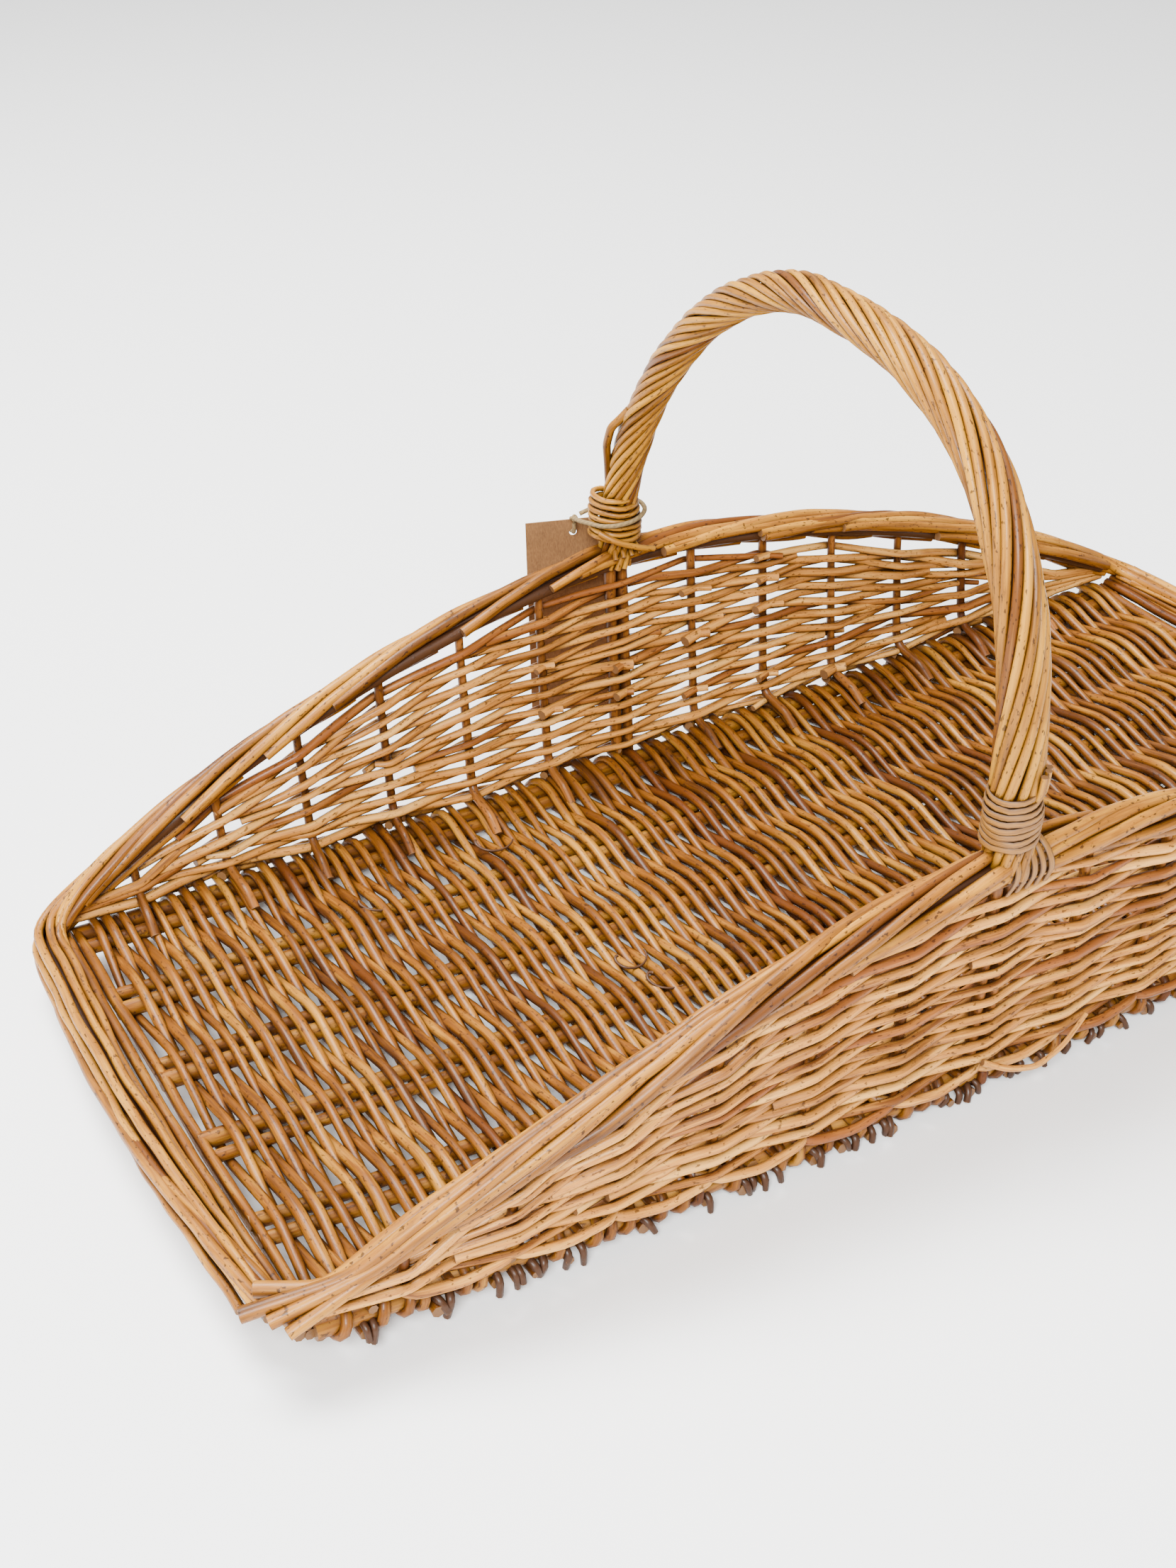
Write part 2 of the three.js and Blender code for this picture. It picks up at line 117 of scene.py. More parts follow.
# The rods of an end weave: how far out and how high in mm, and how much of the rim's bow each follows.
END_ROWS = ((350.3, 17, 0.1), (350.6, 23, 0.15), (355, 19.5, 0.45), (355.6, 25.8, 0.55), (359.6, 21.5, 0.85),
            (360, 27.6, 0.95))
END_ROW_HALF_LENGTH = 154 * MM
END_ROW_STEP = 22 * MM

# Handle.
HANDLE_X = -12 * MM
HANDLE_LEAN = 11 * MM
HANDLE_TOP = 343.7 * MM
HANDLE_HALF_SPAN = 169 * MM
HANDLE_FRONT_SQUARENESS = 2.65
HANDLE_BACK_SQUARENESS = 1.8
BOW_ROD_RADIUS = 3.5 * MM
BOW_ROD_HALF_SPACING = 3.8 * MM
ROPING_RODS = 13
# At the back foot and at the front foot.
ROPING_PITCH = (145 * MM, 260 * MM)
ROPING_RADIUS = (9.7 * MM, 11.6 * MM)
FILLER_OFFSET = 2.2 * MM
# A rod that stands off the back leg: heights and distances from the bow's centre, in mm.
STRAY_LOOP = ((236, 8), (229, 10), (221, 14), (212, 13.6), (200, 10.4), (188, 7.8))
LASHING_HEIGHT = 27 * MM
LASHING_ABOVE_RIM = 3.5 * MM
BACK_LASHING_TURNS = 7
BACK_LASHING_RADIUS = 13.3 * MM
BACK_LASHING_TILT = -0.16
FRONT_LASHING_TURNS = 8
FRONT_LASHING_RADIUS = 12.9 * MM
FRONT_LASHING_TILT = 0.10
LASHING_STEPS_A_TURN = 24
TAIL_CLEARANCE = 1.2 * MM
# The rod that crosses the back turns, from the foot's centre, in mm.
CROSSING_ROD = ((-14, -7, 163), (-8, -14, 159), (0, -16.5, 155.5), (8, -18, 152.5), (15, -17, 150))

# Twine and tag.
TWINE_RADIUS = 1.3 * MM
TAG_HOLE = Vector((-24, 195, 149)) * MM
TAG_TURN = math.radians(-20)
TWINE_WRAP = [
    (-27.5, 186.6, 161.8), (-28.9, 178.7, 164), (-27.4, 169.5, 166), (-24.9, 160.6, 167.3),
    (-19.5, 154.8, 168.6), (-11, 152.1, 170), (-3, 154.3, 171), (2.5, 159.8, 171.6),
    (4.8, 168.5, 171.4), (3.1, 176.6, 170.4), (-3.2, 182.6, 168.6), (-13, 187.1, 165.6),
    (-22.4, 189.9, 162),
]
TWINE_DROP = [(0, -5.2, 8.2), (0, -5.2, 5.2), (0, -3.68, 1.52), (0, 0, 0), (0, 0.8, 0)]
TWINE_KNOT = (0, -5.2, 11.1)
TWINE_END_KNOT = (0, 4.3, 0)

# Camera.
CAMERA_PLACE = (-0.5410, -0.7240, 0.6918)
CAMERA_AZIMUTH = math.radians(-29.668)
CAMERA_ELEVATION = math.radians(34.146)
CAMERA_ROLL = math.radians(-1.145)
CAMERA_LENS = 47.866

# Studio: each lamp's place, size and power.
FLOOR_REACH = 8
WORLD_STRENGTH = 0.66
LAMP_AIM = Vector((0, 0, 0.1))
LAMPS = {
    "overhead": ((-0.5, 0.7, 2.2), 1.2, 175),
    "front_left": ((-1.3, -1.6, 1.9), 1.0, 190),
}


# ---------------------------------------------------------------- camera

def place_camera():
    cos_e, sin_e = math.cos(CAMERA_ELEVATION), math.sin(CAMERA_ELEVATION)
    back = Vector((math.sin(CAMERA_AZIMUTH) * cos_e, -math.cos(CAMERA_AZIMUTH) * cos_e, sin_e))
    right = Vector((0, 0, 1)).cross(back).normalized()
    up = back.cross(right)
    cos_r, sin_r = math.cos(CAMERA_ROLL), math.sin(CAMERA_ROLL)
    x_axis = right * cos_r + up * sin_r
    y_axis = up * cos_r - right * sin_r
    turn = Matrix((x_axis, y_axis, back)).transposed().to_4x4()
    lens = bpy.data.cameras.new("camera")
    lens.sensor_fit = "VERTICAL"
    lens.sensor_height = 36
    lens.lens = CAMERA_LENS
    lens.clip_end = 50
    camera = bpy.data.objects.new("camera", lens)
    camera.matrix_world = Matrix.Translation(CAMERA_PLACE) @ turn
    bpy.context.scene.collection.objects.link(camera)
    bpy.context.scene.camera = camera


# ---------------------------------------------------------------- nodes and colours

def node(tree, kind, inputs=None, **settings):
    """Adds one node. inputs maps a socket's name or number to a value or to another node's output."""
    made = tree.nodes.new(kind)
    for name, value in settings.items():
        setattr(made, name, value)
    for name, value in (inputs or {}).items():
        if isinstance(value, bpy.types.NodeSocket):
            tree.links.new(value, made.inputs[name])
        else:
            made.inputs[name].default_value = value
    return made


def linear(hex_colour):
    """An sRGB hex colour as linear RGBA."""
    parts = [int(hex_colour[k:k + 2], 16) / 255 for k in (1, 3, 5)]
    return [c / 12.92 if c <= 0.04045 else ((c + 0.055) / 1.055) ** 2.4 for c in parts] + [1]


def new_material(name):
    material = bpy.data.materials.new(name)
    material.use_nodes = True
    material.node_tree.nodes.clear()
    return material, material.node_tree


def skin_noise(tree, skin, own, stretch, **settings):
    """Noise on a rod's skin: stretch is how fine it is across and along, own shifts it on each rod."""
    place = node(tree, "ShaderNodeVectorMath", {0: skin.outputs[0], 1: stretch}, operation="MULTIPLY")
    shifted = node(tree, "ShaderNodeVectorMath", {0: place.outputs[0], 1: own.outputs[0]}, operation="ADD")
    return node(tree, "ShaderNodeTexNoise", {"Vector": shifted.outputs[0], "Scale": 1.0, **settings})


def mapped(tree, value, low, high, bottom, top):
    """The value's stretch from low to high turned into bottom to top."""
    return node(tree, "ShaderNodeMapRange", {
        "Value": value, "From Min": low, "From Max": high, "To Min": bottom, "To Max": top}).outputs[0]


def laid_over(tree, mask, under, over):
    """The colour over laid on the colour under, as thick as the mask says."""
    return node(tree, "ShaderNodeMix", {0: mask, 6: under, 7: over}, data_type="RGBA").outputs[2]


def colour_ramp(tree, factor, *stops):
    """A ramp through two or more stops, each a position and a colour, in order."""
    ramp = node(tree, "ShaderNodeValToRGB", {"Fac": factor})
    elements = ramp.color_ramp.elements
    elements[0].position = stops[0][0]
    elements[1].position = stops[-1][0]
    for position, _ in stops[1:-1]:
        elements.new(position)
    for element, (_, colour) in zip(elements, stops):
        element.color = linear(colour)
    return ramp.outputs[0]


def rod_attributes(tree, *names):
    """The values that every rod carries along its skin."""
    return [node(tree, "ShaderNodeAttribute", attribute_name=f"rod_{name}") for name in names]


def willow_finish(name, pale, middle, deep, red, gloss=0.4, speck=0.7):
    """Buff willow: boiled in its bark and peeled, which stains it tan, then given a satin varnish.

    Fine grain runs along each rod, rods differ in tone, and small dark buds and bark flecks are left on.
    """
    material, tree = new_material(name)
    around, along, tint, cut = rod_attributes(tree, "round", "along", "tint", "cut")
    lengthwise = node(tree, "ShaderNodeCombineXYZ", {"Z": along.outputs["Fac"]})
    own = node(tree, "ShaderNodeMath", {0: tint.outputs["Fac"], 1: 57.0}, operation="MULTIPLY")
    girth = node(tree, "ShaderNodeVectorMath", {0: around.outputs["Vector"], 1: (0.004, 0.004, 0)},
                 operation="MULTIPLY")
    skin = node(tree, "ShaderNodeVectorMath", {0: girth.outputs[0], 1: lengthwise.outputs[0]},
                operation="ADD")
    # Grain streaks are about 1 mm across and 18 mm long.
    streak = skin_noise(tree, skin, own, (900, 900, 55), Detail=4.0, Roughness=0.6)
    # Tone patches make 30 to 60 mm of a rod a little lighter or darker.
    patch = skin_noise(tree, skin, own, (150, 150, 22), Detail=3.0)
    # Buds and bark flecks are dark spots 1 to 2 mm long.
    fleck = skin_noise(tree, skin, own, (430, 430, 330), Detail=2.0, Roughness=0.55)
    # Brown smudges are where the bark's tannin soaked in.
    smudge = skin_noise(tree, skin, own, (240, 240, 75), Detail=5.0, Roughness=0.65)
    fleck_mask = mapped(tree, fleck.outputs["Fac"], 0.61, 0.67, 0, speck)
    smudge_mask = mapped(tree, smudge.outputs["Fac"], 0.56, 0.74, 0, 0.6)
    tone_sum = node(tree, "ShaderNodeMath", {0: streak.outputs["Fac"], 1: 0.55, 2: patch.outputs["Fac"]},
                    operation="MULTIPLY_ADD")
    tone_rod = node(tree, "ShaderNodeMath", {0: tint.outputs["Fac"], 1: 0.6, 2: tone_sum.outputs[0]},
                    operation="MULTIPLY_ADD")
    tone = mapped(tree, tone_rod.outputs[0], 0.64, 1.44, 0, 1)
    colour = colour_ramp(tree, tone, (0.12, pale), (0.48, middle), (0.86, deep))
    # Rods with a tint from 0.72 to 1 are reddish.
    colour = laid_over(tree, mapped(tree, tint.outputs["Fac"], 0.72, 1.0, 0, 0.5), colour, linear(red))
    colour = laid_over(tree, smudge_mask, colour, linear("#5A3212"))
    colour = laid_over(tree, fleck_mask, colour, linear("#24130A"))
    # Rods with a tint above 1 are dark brown all over. On the border's core rods and the roping's filler
    # rods, which show only in the gaps, this is painted shade; it is also the dark colour of the bark curls
    # and of the cut tips below the base's edge.
    colour = laid_over(tree, mapped(tree, tint.outputs["Fac"], 1.1, 1.3, 0, 0.85), colour, linear("#3E2818"))
    # Painted shade: where other rods lie within 7 mm the colour darkens towards near-black brown. This stands
    # for the shade in the crevices, with some varnish pooled there.
    near = node(tree, "ShaderNodeAmbientOcclusion", {"Distance": 0.007}, samples=4)
    colour = laid_over(tree, mapped(tree, near.outputs["AO"], 0.2, 0.92, 0.92, 0), colour, linear("#240E03"))
    # A cut end shows bare wood.
    colour = laid_over(tree, cut.outputs["Fac"], colour, linear("#6E4C2C"))
    rough = mapped(tree, streak.outputs["Fac"], 0, 1, gloss - 0.08, gloss + 0.14)
    relief = node(tree, "ShaderNodeMath", {0: fleck_mask, 1: 0.5, 2: streak.outputs["Fac"]},
                  operation="MULTIPLY_ADD")
    bump = node(tree, "ShaderNodeBump", {"Strength": 0.35, "Distance": 0.0005, "Height": relief.outputs[0]})
    surface = node(tree, "ShaderNodeBsdfPrincipled", {
        "Base Color": colour, "Roughness": rough, "Normal": bump.outputs[0],
        "Specular IOR Level": 0.2, "Coat Weight": 0.1, "Coat Roughness": 0.16})
    node(tree, "ShaderNodeOutputMaterial", {"Surface": surface.outputs[0]})
    return material


def skein_finish(name):
    """Split willow skein: a rod split and shaved flat, with fibrous grain; its colour darkens to near-black
    towards both edges.
    """
    material, tree = new_material(name)
    around, along, tint = rod_attributes(tree, "round", "along", "tint")
    across = node(tree, "ShaderNodeSeparateXYZ", {0: around.outputs["Vector"]})
    edge = node(tree, "ShaderNodeMath", {0: across.outputs["Y"]}, operation="ABSOLUTE")
    across_grain = node(tree, "ShaderNodeMath", {0: across.outputs["Y"], 1: 4.5}, operation="MULTIPLY")
    along_grain = node(tree, "ShaderNodeMath", {0: along.outputs["Fac"], 1: 60.0}, operation="MULTIPLY")
    own = node(tree, "ShaderNodeMath", {0: tint.outputs["Fac"], 1: 31.0}, operation="MULTIPLY")
    place = node(tree, "ShaderNodeCombineXYZ", {"X": across_grain.outputs[0], "Y": own.outputs[0],
                                                "Z": along_grain.outputs[0]})
    grain = node(tree, "ShaderNodeTexNoise", {"Vector": place.outputs[0], "Scale": 1.0, "Detail": 5.0,
                                              "Roughness": 0.65})
    colour = colour_ramp(tree, grain.outputs["Fac"], (0.3, "#5E360E"), (0.7, "#A06C1E"))
    colour = laid_over(tree, mapped(tree, edge.outputs[0], 0.55, 1.0, 0, 0.95), colour, linear("#1E0C03"))
    bump = node(tree, "ShaderNodeBump", {"Strength": 0.5, "Distance": 0.0005, "Height": grain.outputs["Fac"]})
    surface = node(tree, "ShaderNodeBsdfPrincipled", {
        "Base Color": colour, "Roughness": 0.5, "Normal": bump.outputs[0], "IOR": 1.5})
    node(tree, "ShaderNodeOutputMaterial", {"Surface": surface.outputs[0]})
    return material


def jute_finish():
    """Jute twine: retted plant fibre spun in two plies, dull grey-beige with paler loose fibres."""
    material, tree = new_material("jute_twine_spun")
    around, along = rod_attributes(tree, "round", "along")
    parts = node(tree, "ShaderNodeSeparateXYZ", {0: around.outputs["Vector"]})
    angle = node(tree, "ShaderNodeMath", {0: parts.outputs["Y"], 1: parts.outputs["X"]}, operation="ARCTAN2")
    # Two plies go once round in 7 mm of twine.
    ply_angle = node(tree, "ShaderNodeMath", {0: angle.outputs[0], 1: 2.0}, operation="MULTIPLY")
    lay = node(tree, "ShaderNodeMath", {0: along.outputs["Fac"], 1: 4 * math.pi / 0.007,
                                        2: ply_angle.outputs[0]}, operation="MULTIPLY_ADD")
    ply = node(tree, "ShaderNodeMath", {0: lay.outputs[0]}, operation="SINE")
    coords = node(tree, "ShaderNodeTexCoord")
    fibre = node(tree, "ShaderNodeTexNoise", {"Vector": coords.outputs["Object"], "Scale": 2200.0,
                                              "Detail": 3.0})
    mix = node(tree, "ShaderNodeMath", {0: ply.outputs[0], 1: 0.1, 2: fibre.outputs["Fac"]},
               operation="MULTIPLY_ADD")
    colour = colour_ramp(tree, mix.outputs[0], (0.2, "#56462C"), (0.75, "#8C7246"))
    bump = node(tree, "ShaderNodeBump", {"Strength": 0.6, "Distance": 0.0005, "Height": mix.outputs[0]})
    surface = node(tree, "ShaderNodeBsdfPrincipled", {
        "Base Color": colour, "Roughness": 0.9, "Normal": bump.outputs[0]})
    node(tree, "ShaderNodeOutputMaterial", {"Surface": surface.outputs[0]})
    return material


def kraft_finish():
    """Kraft card: unbleached pulp pressed flat, matt brown with fine darker and paler fibres."""
    material, tree = new_material("kraft_card_pressed")
    coords = node(tree, "ShaderNodeTexCoord")
    stretched = node(tree, "ShaderNodeMapping", {0: coords.outputs["Object"], 3: (1, 1, 0.35)})
    fibre = node(tree, "ShaderNodeTexNoise", {"Vector": stretched.outputs[0], "Scale": 1400.0, "Detail": 3.0})
    cloud = node(tree, "ShaderNodeTexNoise", {"Vector": coords.outputs["Object"], "Scale": 90.0})
    mix = node(tree, "ShaderNodeMath", {0: cloud.outputs["Fac"], 1: 0.4, 2: fibre.outputs["Fac"]},
               operation="MULTIPLY_ADD")
    colour = colour_ramp(tree, mix.outputs[0], (0.35, "#5E3E20"), (1.0, "#865E34"))
    bump = node(tree, "ShaderNodeBump", {"Strength": 0.2, "Distance": 0.0002, "Height": fibre.outputs["Fac"]})
    surface = node(tree, "ShaderNodeBsdfPrincipled", {
        "Base Color": colour, "Roughness": 0.85, "Normal": bump.outputs[0]})
    node(tree, "ShaderNodeOutputMaterial", {"Surface": surface.outputs[0]})
    return material


# ---------------------------------------------------------------- rods from centre lines

def rod_tree(flat):
    """Gives centre lines their thickness. flat is for skeins, which face the way their lines say."""
    tree = bpy.data.node_groups.new("skeins" if flat else "willow_rods", "GeometryNodeTree")
    tree.interface.new_socket(name="Centre lines", in_out="INPUT", socket_type="NodeSocketGeometry")
    tree.interface.new_socket(name="Sides", in_out="INPUT", socket_type="NodeSocketInt")
    tree.interface.new_socket(name="Thickness share", in_out="INPUT", socket_type="NodeSocketFloat")
    tree.interface.new_socket(name="Finish", in_out="INPUT", socket_type="NodeSocketMaterial")
    tree.interface.new_socket(name="Rods", in_out="OUTPUT", socket_type="NodeSocketGeometry")
    given = node(tree, "NodeGroupInput")
    line = node(tree, "GeometryNodeMeshToCurve", {"Mesh": given.outputs["Centre lines"]}).outputs[0]
    if flat:
        facing = node(tree, "GeometryNodeInputNamedAttribute", {"Name": "rod_face"}, data_type="FLOAT_VECTOR")
        line = node(tree, "GeometryNodeSetCurveNormal", {"Curve": line, "Normal": facing.outputs[0]},
                    mode="FREE").outputs[0]
    ring = node(tree, "GeometryNodeCurvePrimitiveCircle", {
        "Resolution": given.outputs["Sides"], "Radius": 1.0})
    position = node(tree, "GeometryNodeInputPosition")
    marked = node(tree, "GeometryNodeStoreNamedAttribute", {
        "Geometry": ring.outputs[0], "Name": "rod_round", "Value": position.outputs[0]},
        data_type="FLOAT_VECTOR", domain="POINT")
    squeeze = node(tree, "ShaderNodeCombineXYZ", {"X": given.outputs["Thickness share"], "Y": 1.0, "Z": 1.0})
    section = node(tree, "GeometryNodeTransform", {
        "Geometry": marked.outputs[0], "Scale": squeeze.outputs[0]})
    radius = node(tree, "GeometryNodeInputNamedAttribute", {"Name": "rod_radius"}, data_type="FLOAT")
    swept = node(tree, "GeometryNodeCurveToMesh", {
        "Curve": line, "Profile Curve": section.outputs[0], "Scale": radius.outputs[0], "Fill Caps": True})
    real = node(tree, "GeometryNodeRealizeInstances", {"Geometry": swept.outputs[0]})
    finished = node(tree, "GeometryNodeSetMaterial", {"Geometry": real.outputs[0],
                                                      "Material": given.outputs["Finish"]})
    node(tree, "NodeGroupOutput", {0: finished.outputs[0]})
    return tree


ROD_TREES = {flat: rod_tree(flat) for flat in (False, True)}


def eased(points, step=4 * MM, ease=10 * MM):
    """Even steps along a bent line, with its corners rounded over the length ease. The ends stay."""
    points = np.asarray(points, float)
    lengths = np.linalg.norm(np.diff(points, axis=0), axis=1)
    along = np.concatenate([[0], np.cumsum(lengths)])
    count = max(3, int(round(along[-1] / step)) + 1)
    even = np.linspace(0, along[-1], count)
    line = np.stack([np.interp(even, along, points[:, k]) for k in range(3)], 1)
    reach = min(int(round(ease / step / 2)), count - 2)
    if reach > 0:
        kernel = np.hanning(2 * reach + 3)[1:-1]
        kernel /= kernel.sum()
        before = 2 * line[0] - line[reach:0:-1]
        after = 2 * line[-1] - line[-2:-reach - 2:-1]
        padded = np.concatenate([before, line, after])
        line = np.stack([np.convolve(padded[:, k], kernel, "valid") for k in range(3)], 1)
    return line


def rod(line, butt, tip=None, tint=0.4, face=None, dice=None):
    """One rod: its centre line, its radius at both ends and its tone. A little waviness comes from dice."""
    tip = butt if tip is None else tip
    # A ring close to each end keeps the colour of the cut face off the rod's side.
    near = min(0.3, 0.4 * MM / np.linalg.norm(line[1] - line[0]))
    line = np.concatenate([line[:1], line[:1] + (line[1:2] - line[:1]) * near, line[1:-1],
                           line[-1:] + (line[-2:-1] - line[-1:]) * near, line[-1:]])
    along = np.concatenate([[0], np.cumsum(np.linalg.norm(np.diff(line, axis=0), axis=1))])
    radii = butt + (tip - butt) * along / along[-1]
    if dice is not None:
        knots = np.arange(0, along[-1] + 0.03, 0.03)
        radii = radii * np.interp(along, knots, [1 + dice.uniform(-0.07, 0.07) for _ in knots])
    cut = np.zeros(len(line))
    cut[0] = cut[-1] = 1
    if face is not None:
        face = np.concatenate([face[:1], face[:1], face[1:-1], face[-1:], face[-1:]])
    return {"line": line, "radius": radii, "along": along, "cut": cut, "tint": tint, "face": face}


def make_rods(name, rods, finish, sides=8, thickness_share=1.0):
    """One piece out of many rods: a mesh of centre lines goes through the node tree and comes out solid."""
    flat = rods[0]["face"] is not None
    counts = [len(r["line"]) for r in rods]
    starts = np.concatenate([[0], np.cumsum(counts)[:-1]])
    edges = [(int(s) + k, int(s) + k + 1) for s, c in zip(starts, counts) for k in range(c - 1)]
    mesh = bpy.data.meshes.new(name)
    mesh.from_pydata(np.concatenate([r["line"] for r in rods]).tolist(), edges, [])
    columns = {
        "rod_radius": [r["radius"] for r in rods],
        "rod_along": [r["along"] for r in rods],
        "rod_cut": [r["cut"] for r in rods],
        "rod_tint": [np.full(c, r["tint"]) for r, c in zip(rods, counts)],
    }
    for key, parts in columns.items():
        mesh.attributes.new(key, "FLOAT", "POINT").data.foreach_set("value", np.concatenate(parts))
    if flat:
        facing = np.concatenate([r["face"] for r in rods]).ravel()
        mesh.attributes.new("rod_face", "FLOAT_VECTOR", "POINT").data.foreach_set("vector", facing)
    lines = bpy.data.objects.new(name, mesh)
    bpy.context.scene.collection.objects.link(lines)
    modifier = lines.modifiers.new("rods", "NODES")
    tree = ROD_TREES[flat]
    sockets = {item.name: item.identifier for item in tree.interface.items_tree if item.in_out == "INPUT"}
    modifier.node_group = tree
    modifier[sockets["Sides"]] = sides
    modifier[sockets["Thickness share"]] = thickness_share
    modifier[sockets["Finish"]] = finish
    solid = bpy.data.meshes.new_from_object(lines.evaluated_get(bpy.context.evaluated_depsgraph_get()))
    lines.modifiers.remove(modifier)
    lines.data = solid
    solid.name = name
    bpy.data.meshes.remove(mesh)
    for used_up in ("rod_radius", "rod_face"):
        spare = solid.attributes.get(used_up)
        if spare:
            solid.attributes.remove(spare)
    solid.polygons.foreach_set("use_smooth", [True] * len(solid.polygons))
    solid.materials.clear()
    solid.materials.append(finish)
    return lines


def stand_in(piece, slot, *nodes, body="root"):
    """The piece rides on its body and stands for the CAD nodes, which are hidden; slot is not used."""
    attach(piece, body)
    if nodes:
        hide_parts(*nodes)


# ---------------------------------------------------------------- the basket's shape

def base_lift(x):
    reach = max(0, abs(x) - FLAT_HALF_LENGTH) / (BASE_HALF_LENGTH - FLAT_HALF_LENGTH)
    return END_LIFT * reach ** LIFT_POWER


def base_side(x):
    return BASE_HALF_WIDTH + SIDE_BOW * (1 - (x / BASE_HALF_LENGTH) ** 2)


def rim_top(x):
    fall = min(1, abs(x) / RIM_HALF_LENGTH) ** RIM_FALL_POWER
    return RIM_TOP_END + (RIM_TOP_MIDDLE - RIM_TOP_END) * (1 - fall)


def border_rise(x):
    slope = (rim_top(x + MM) - rim_top(x - MM)) / (2 * MM)
    return BORDER_RADIUS * math.hypot(1, slope)


def border_side(x):
    return RIM_HALF_WIDTH - RIM_CORNER_TUCK * (x / RIM_HALF_LENGTH) ** 4 - BORDER_RADIUS


def border_end(y):
    return RIM_HALF_LENGTH + RIM_END_BOW * (1 - (y / BORDER_CORNER_Y) ** 2) - BORDER_RADIUS


def weave_foot(x):
    return base_lift(x) + BASE_THICKNESS + WEAVE_ABOVE_BASE


def weave_head(x):
    return rim_top(x) - 2 * border_rise(x) - WEAVE_BELOW_BORDER


def wall_side(x, z):
    """How far out the middle of a side wall is at a height."""
    up = (z - weave_foot(x)) / max(weave_head(x) - weave_foot(x), MM)
    foot, head = base_side(x) - SIDE_WEAVE_SET_IN, border_side(x)
    return foot + (head - foot) * min(max(up, -0.3), 1.2)


def handle_point(angle):
    """The bow's centre: 0 is the back foot, pi the front foot."""
    squareness = HANDLE_BACK_SQUARENESS if angle < math.pi / 2 else HANDLE_FRONT_SQUARENESS
    power = 2 / squareness
    cosine, sine = math.cos(angle), max(math.sin(angle), 0)
    across = HANDLE_HALF_SPAN * math.copysign(abs(cosine) ** power, cosine)
    height = RIM_TOP_MIDDLE + (HANDLE_TOP - RIM_TOP_MIDDLE) * sine ** power
    return np.array([HANDLE_X + HANDLE_LEAN * sine, across, height])


def willow_tint(dice, middle=0.4, spread=0.18, reds=0.1):
    """A rod's tone: most are near the middle, a few are reddish."""
    if dice.random() < reds:
        return dice.uniform(0.78, 1.0)
    return min(max(dice.gauss(middle, spread), 0.02), 0.74)


# ---------------------------------------------------------------- base

def base_stick(row, outer, dice, edge):
    """One lengthwise stick, with its butt and tip at the base's two ends."""
    shift = STICK_PAIR_HALF_SPACING * (1 if outer else -1) * (1 if row > 0 else -1)
    xs = np.linspace(-BASE_HALF_LENGTH - 4 * MM, BASE_HALF_LENGTH + 4 * MM, 24)
    sway = [dice.uniform(-0.5, 0.5) * MM for _ in xs]
    points = [(x, (row + shift) * base_side(x) / BASE_HALF_WIDTH + s, base_lift(x) + STICK_HEIGHT + s * 0.5)
              for x, s in zip(xs, sway)]
    radius = (EDGE_STICK_RADII if edge else STICK_RADII)[1 if outer else 0]
    butt, tip = radius * dice.uniform(1.0, 1.1), radius * dice.uniform(0.82, 0.95)
    if dice.random() < 0.5:
        points.reverse()
    return rod(eased(points, 8 * MM, 50 * MM), butt, tip, willow_tint(dice, 0.36, 0.1, 0), dice=dice)


def build_base_sticks(finish):
    dice = random.Random(11)
    number = 0
    for index, row in enumerate(STICK_PAIR_ROWS):
        edge = index in (0, len(STICK_PAIR_ROWS) - 1)
        order = (True, False) if row < 0 else (False, True)
        for outer in order:
            number += 1
            stick = base_stick(row, outer, dice, edge)
            piece = make_rods(f"stick_rod_{number:02d}", [stick], finish, sides=12)
            stand_in(piece, "buff_willow", f"base_stick_{number:02d}")


def gathered(index, side):
    """Weavers crowd together in fives where they turn round the edge sticks."""
    return EDGE_GATHER * math.sin(2 * math.pi * index / 5 + side)


def weaver_pass(index, x, dice):
    """One pass of a weaver across the base, over one stick pair and under the next, from back to front."""
    points = []
    last = len(STICK_PAIR_ROWS) - 1
    for row in range(last, -1, -1):
        over = (row + index) % 2 == 1
        at = x + dice.uniform(-0.9, 0.9) * MM
        if row in (0, last):
            at += gathered(index, 1 if row else -1)
        at += WEAVER_SWING if over else -WEAVER_SWING
        height = base_lift(at) + STICK_HEIGHT + (WEAVER_OVER if over else -WEAVER_UNDER)
        ratio = base_side(at) / BASE_HALF_WIDTH
        for side in (STICK_PAIR_HALF_SPACING, -STICK_PAIR_HALF_SPACING):
            points.append((at, (STICK_PAIR_ROWS[row] + side) * ratio, height))
    return points


def edge_of_sticks(x):
    return (STICK_PAIR_ROWS[-1] + STICK_PAIR_HALF_SPACING) * base_side(x) / BASE_HALF_WIDTH


def edge_turn(x_from, x_to, side, rising):
    """Points round the outermost edge stick, from below it to above it or back."""
    points = []
    for share, angle in ((0.2, -55), (0.5, 0), (0.8, 55)):
        x = x_from + (x_to - x_from) * share
        turn = math.radians(angle if rising else -angle)
        y = edge_of_sticks(x) + EDGE_TURN_RADIUS * math.cos(turn)
        points.append((x, side * y, base_lift(x) + STICK_HEIGHT + WEAVER_UNDER * math.sin(turn)))
    return points


def edge_tip(x, side, dice):
    """A weaver's cut tip that hangs out below the edge stick, tinted dark all over."""
    edge, level = edge_of_sticks(x), base_lift(x) + STICK_HEIGHT
    lean = dice.uniform(-4, 4) * MM
    out = dice.uniform(5, 9.5) * MM
    low = max(level - dice.uniform(7, 12) * MM, 1.4 * MM)
    points = [(x, side * (edge + 2 * MM), level - 1 * MM),
              (x + lean * 0.4, side * (edge + 8 * MM), level - 2 * MM),
              (x + lean, side * (edge + out), low)]
    butt, tip = dice.uniform(1.7, 2.4) * MM, dice.uniform(1.4, 2.0) * MM
    return rod(eased(points, 2.5 * MM, 5 * MM), butt, tip, SHADE_AND_BARK_TINT)


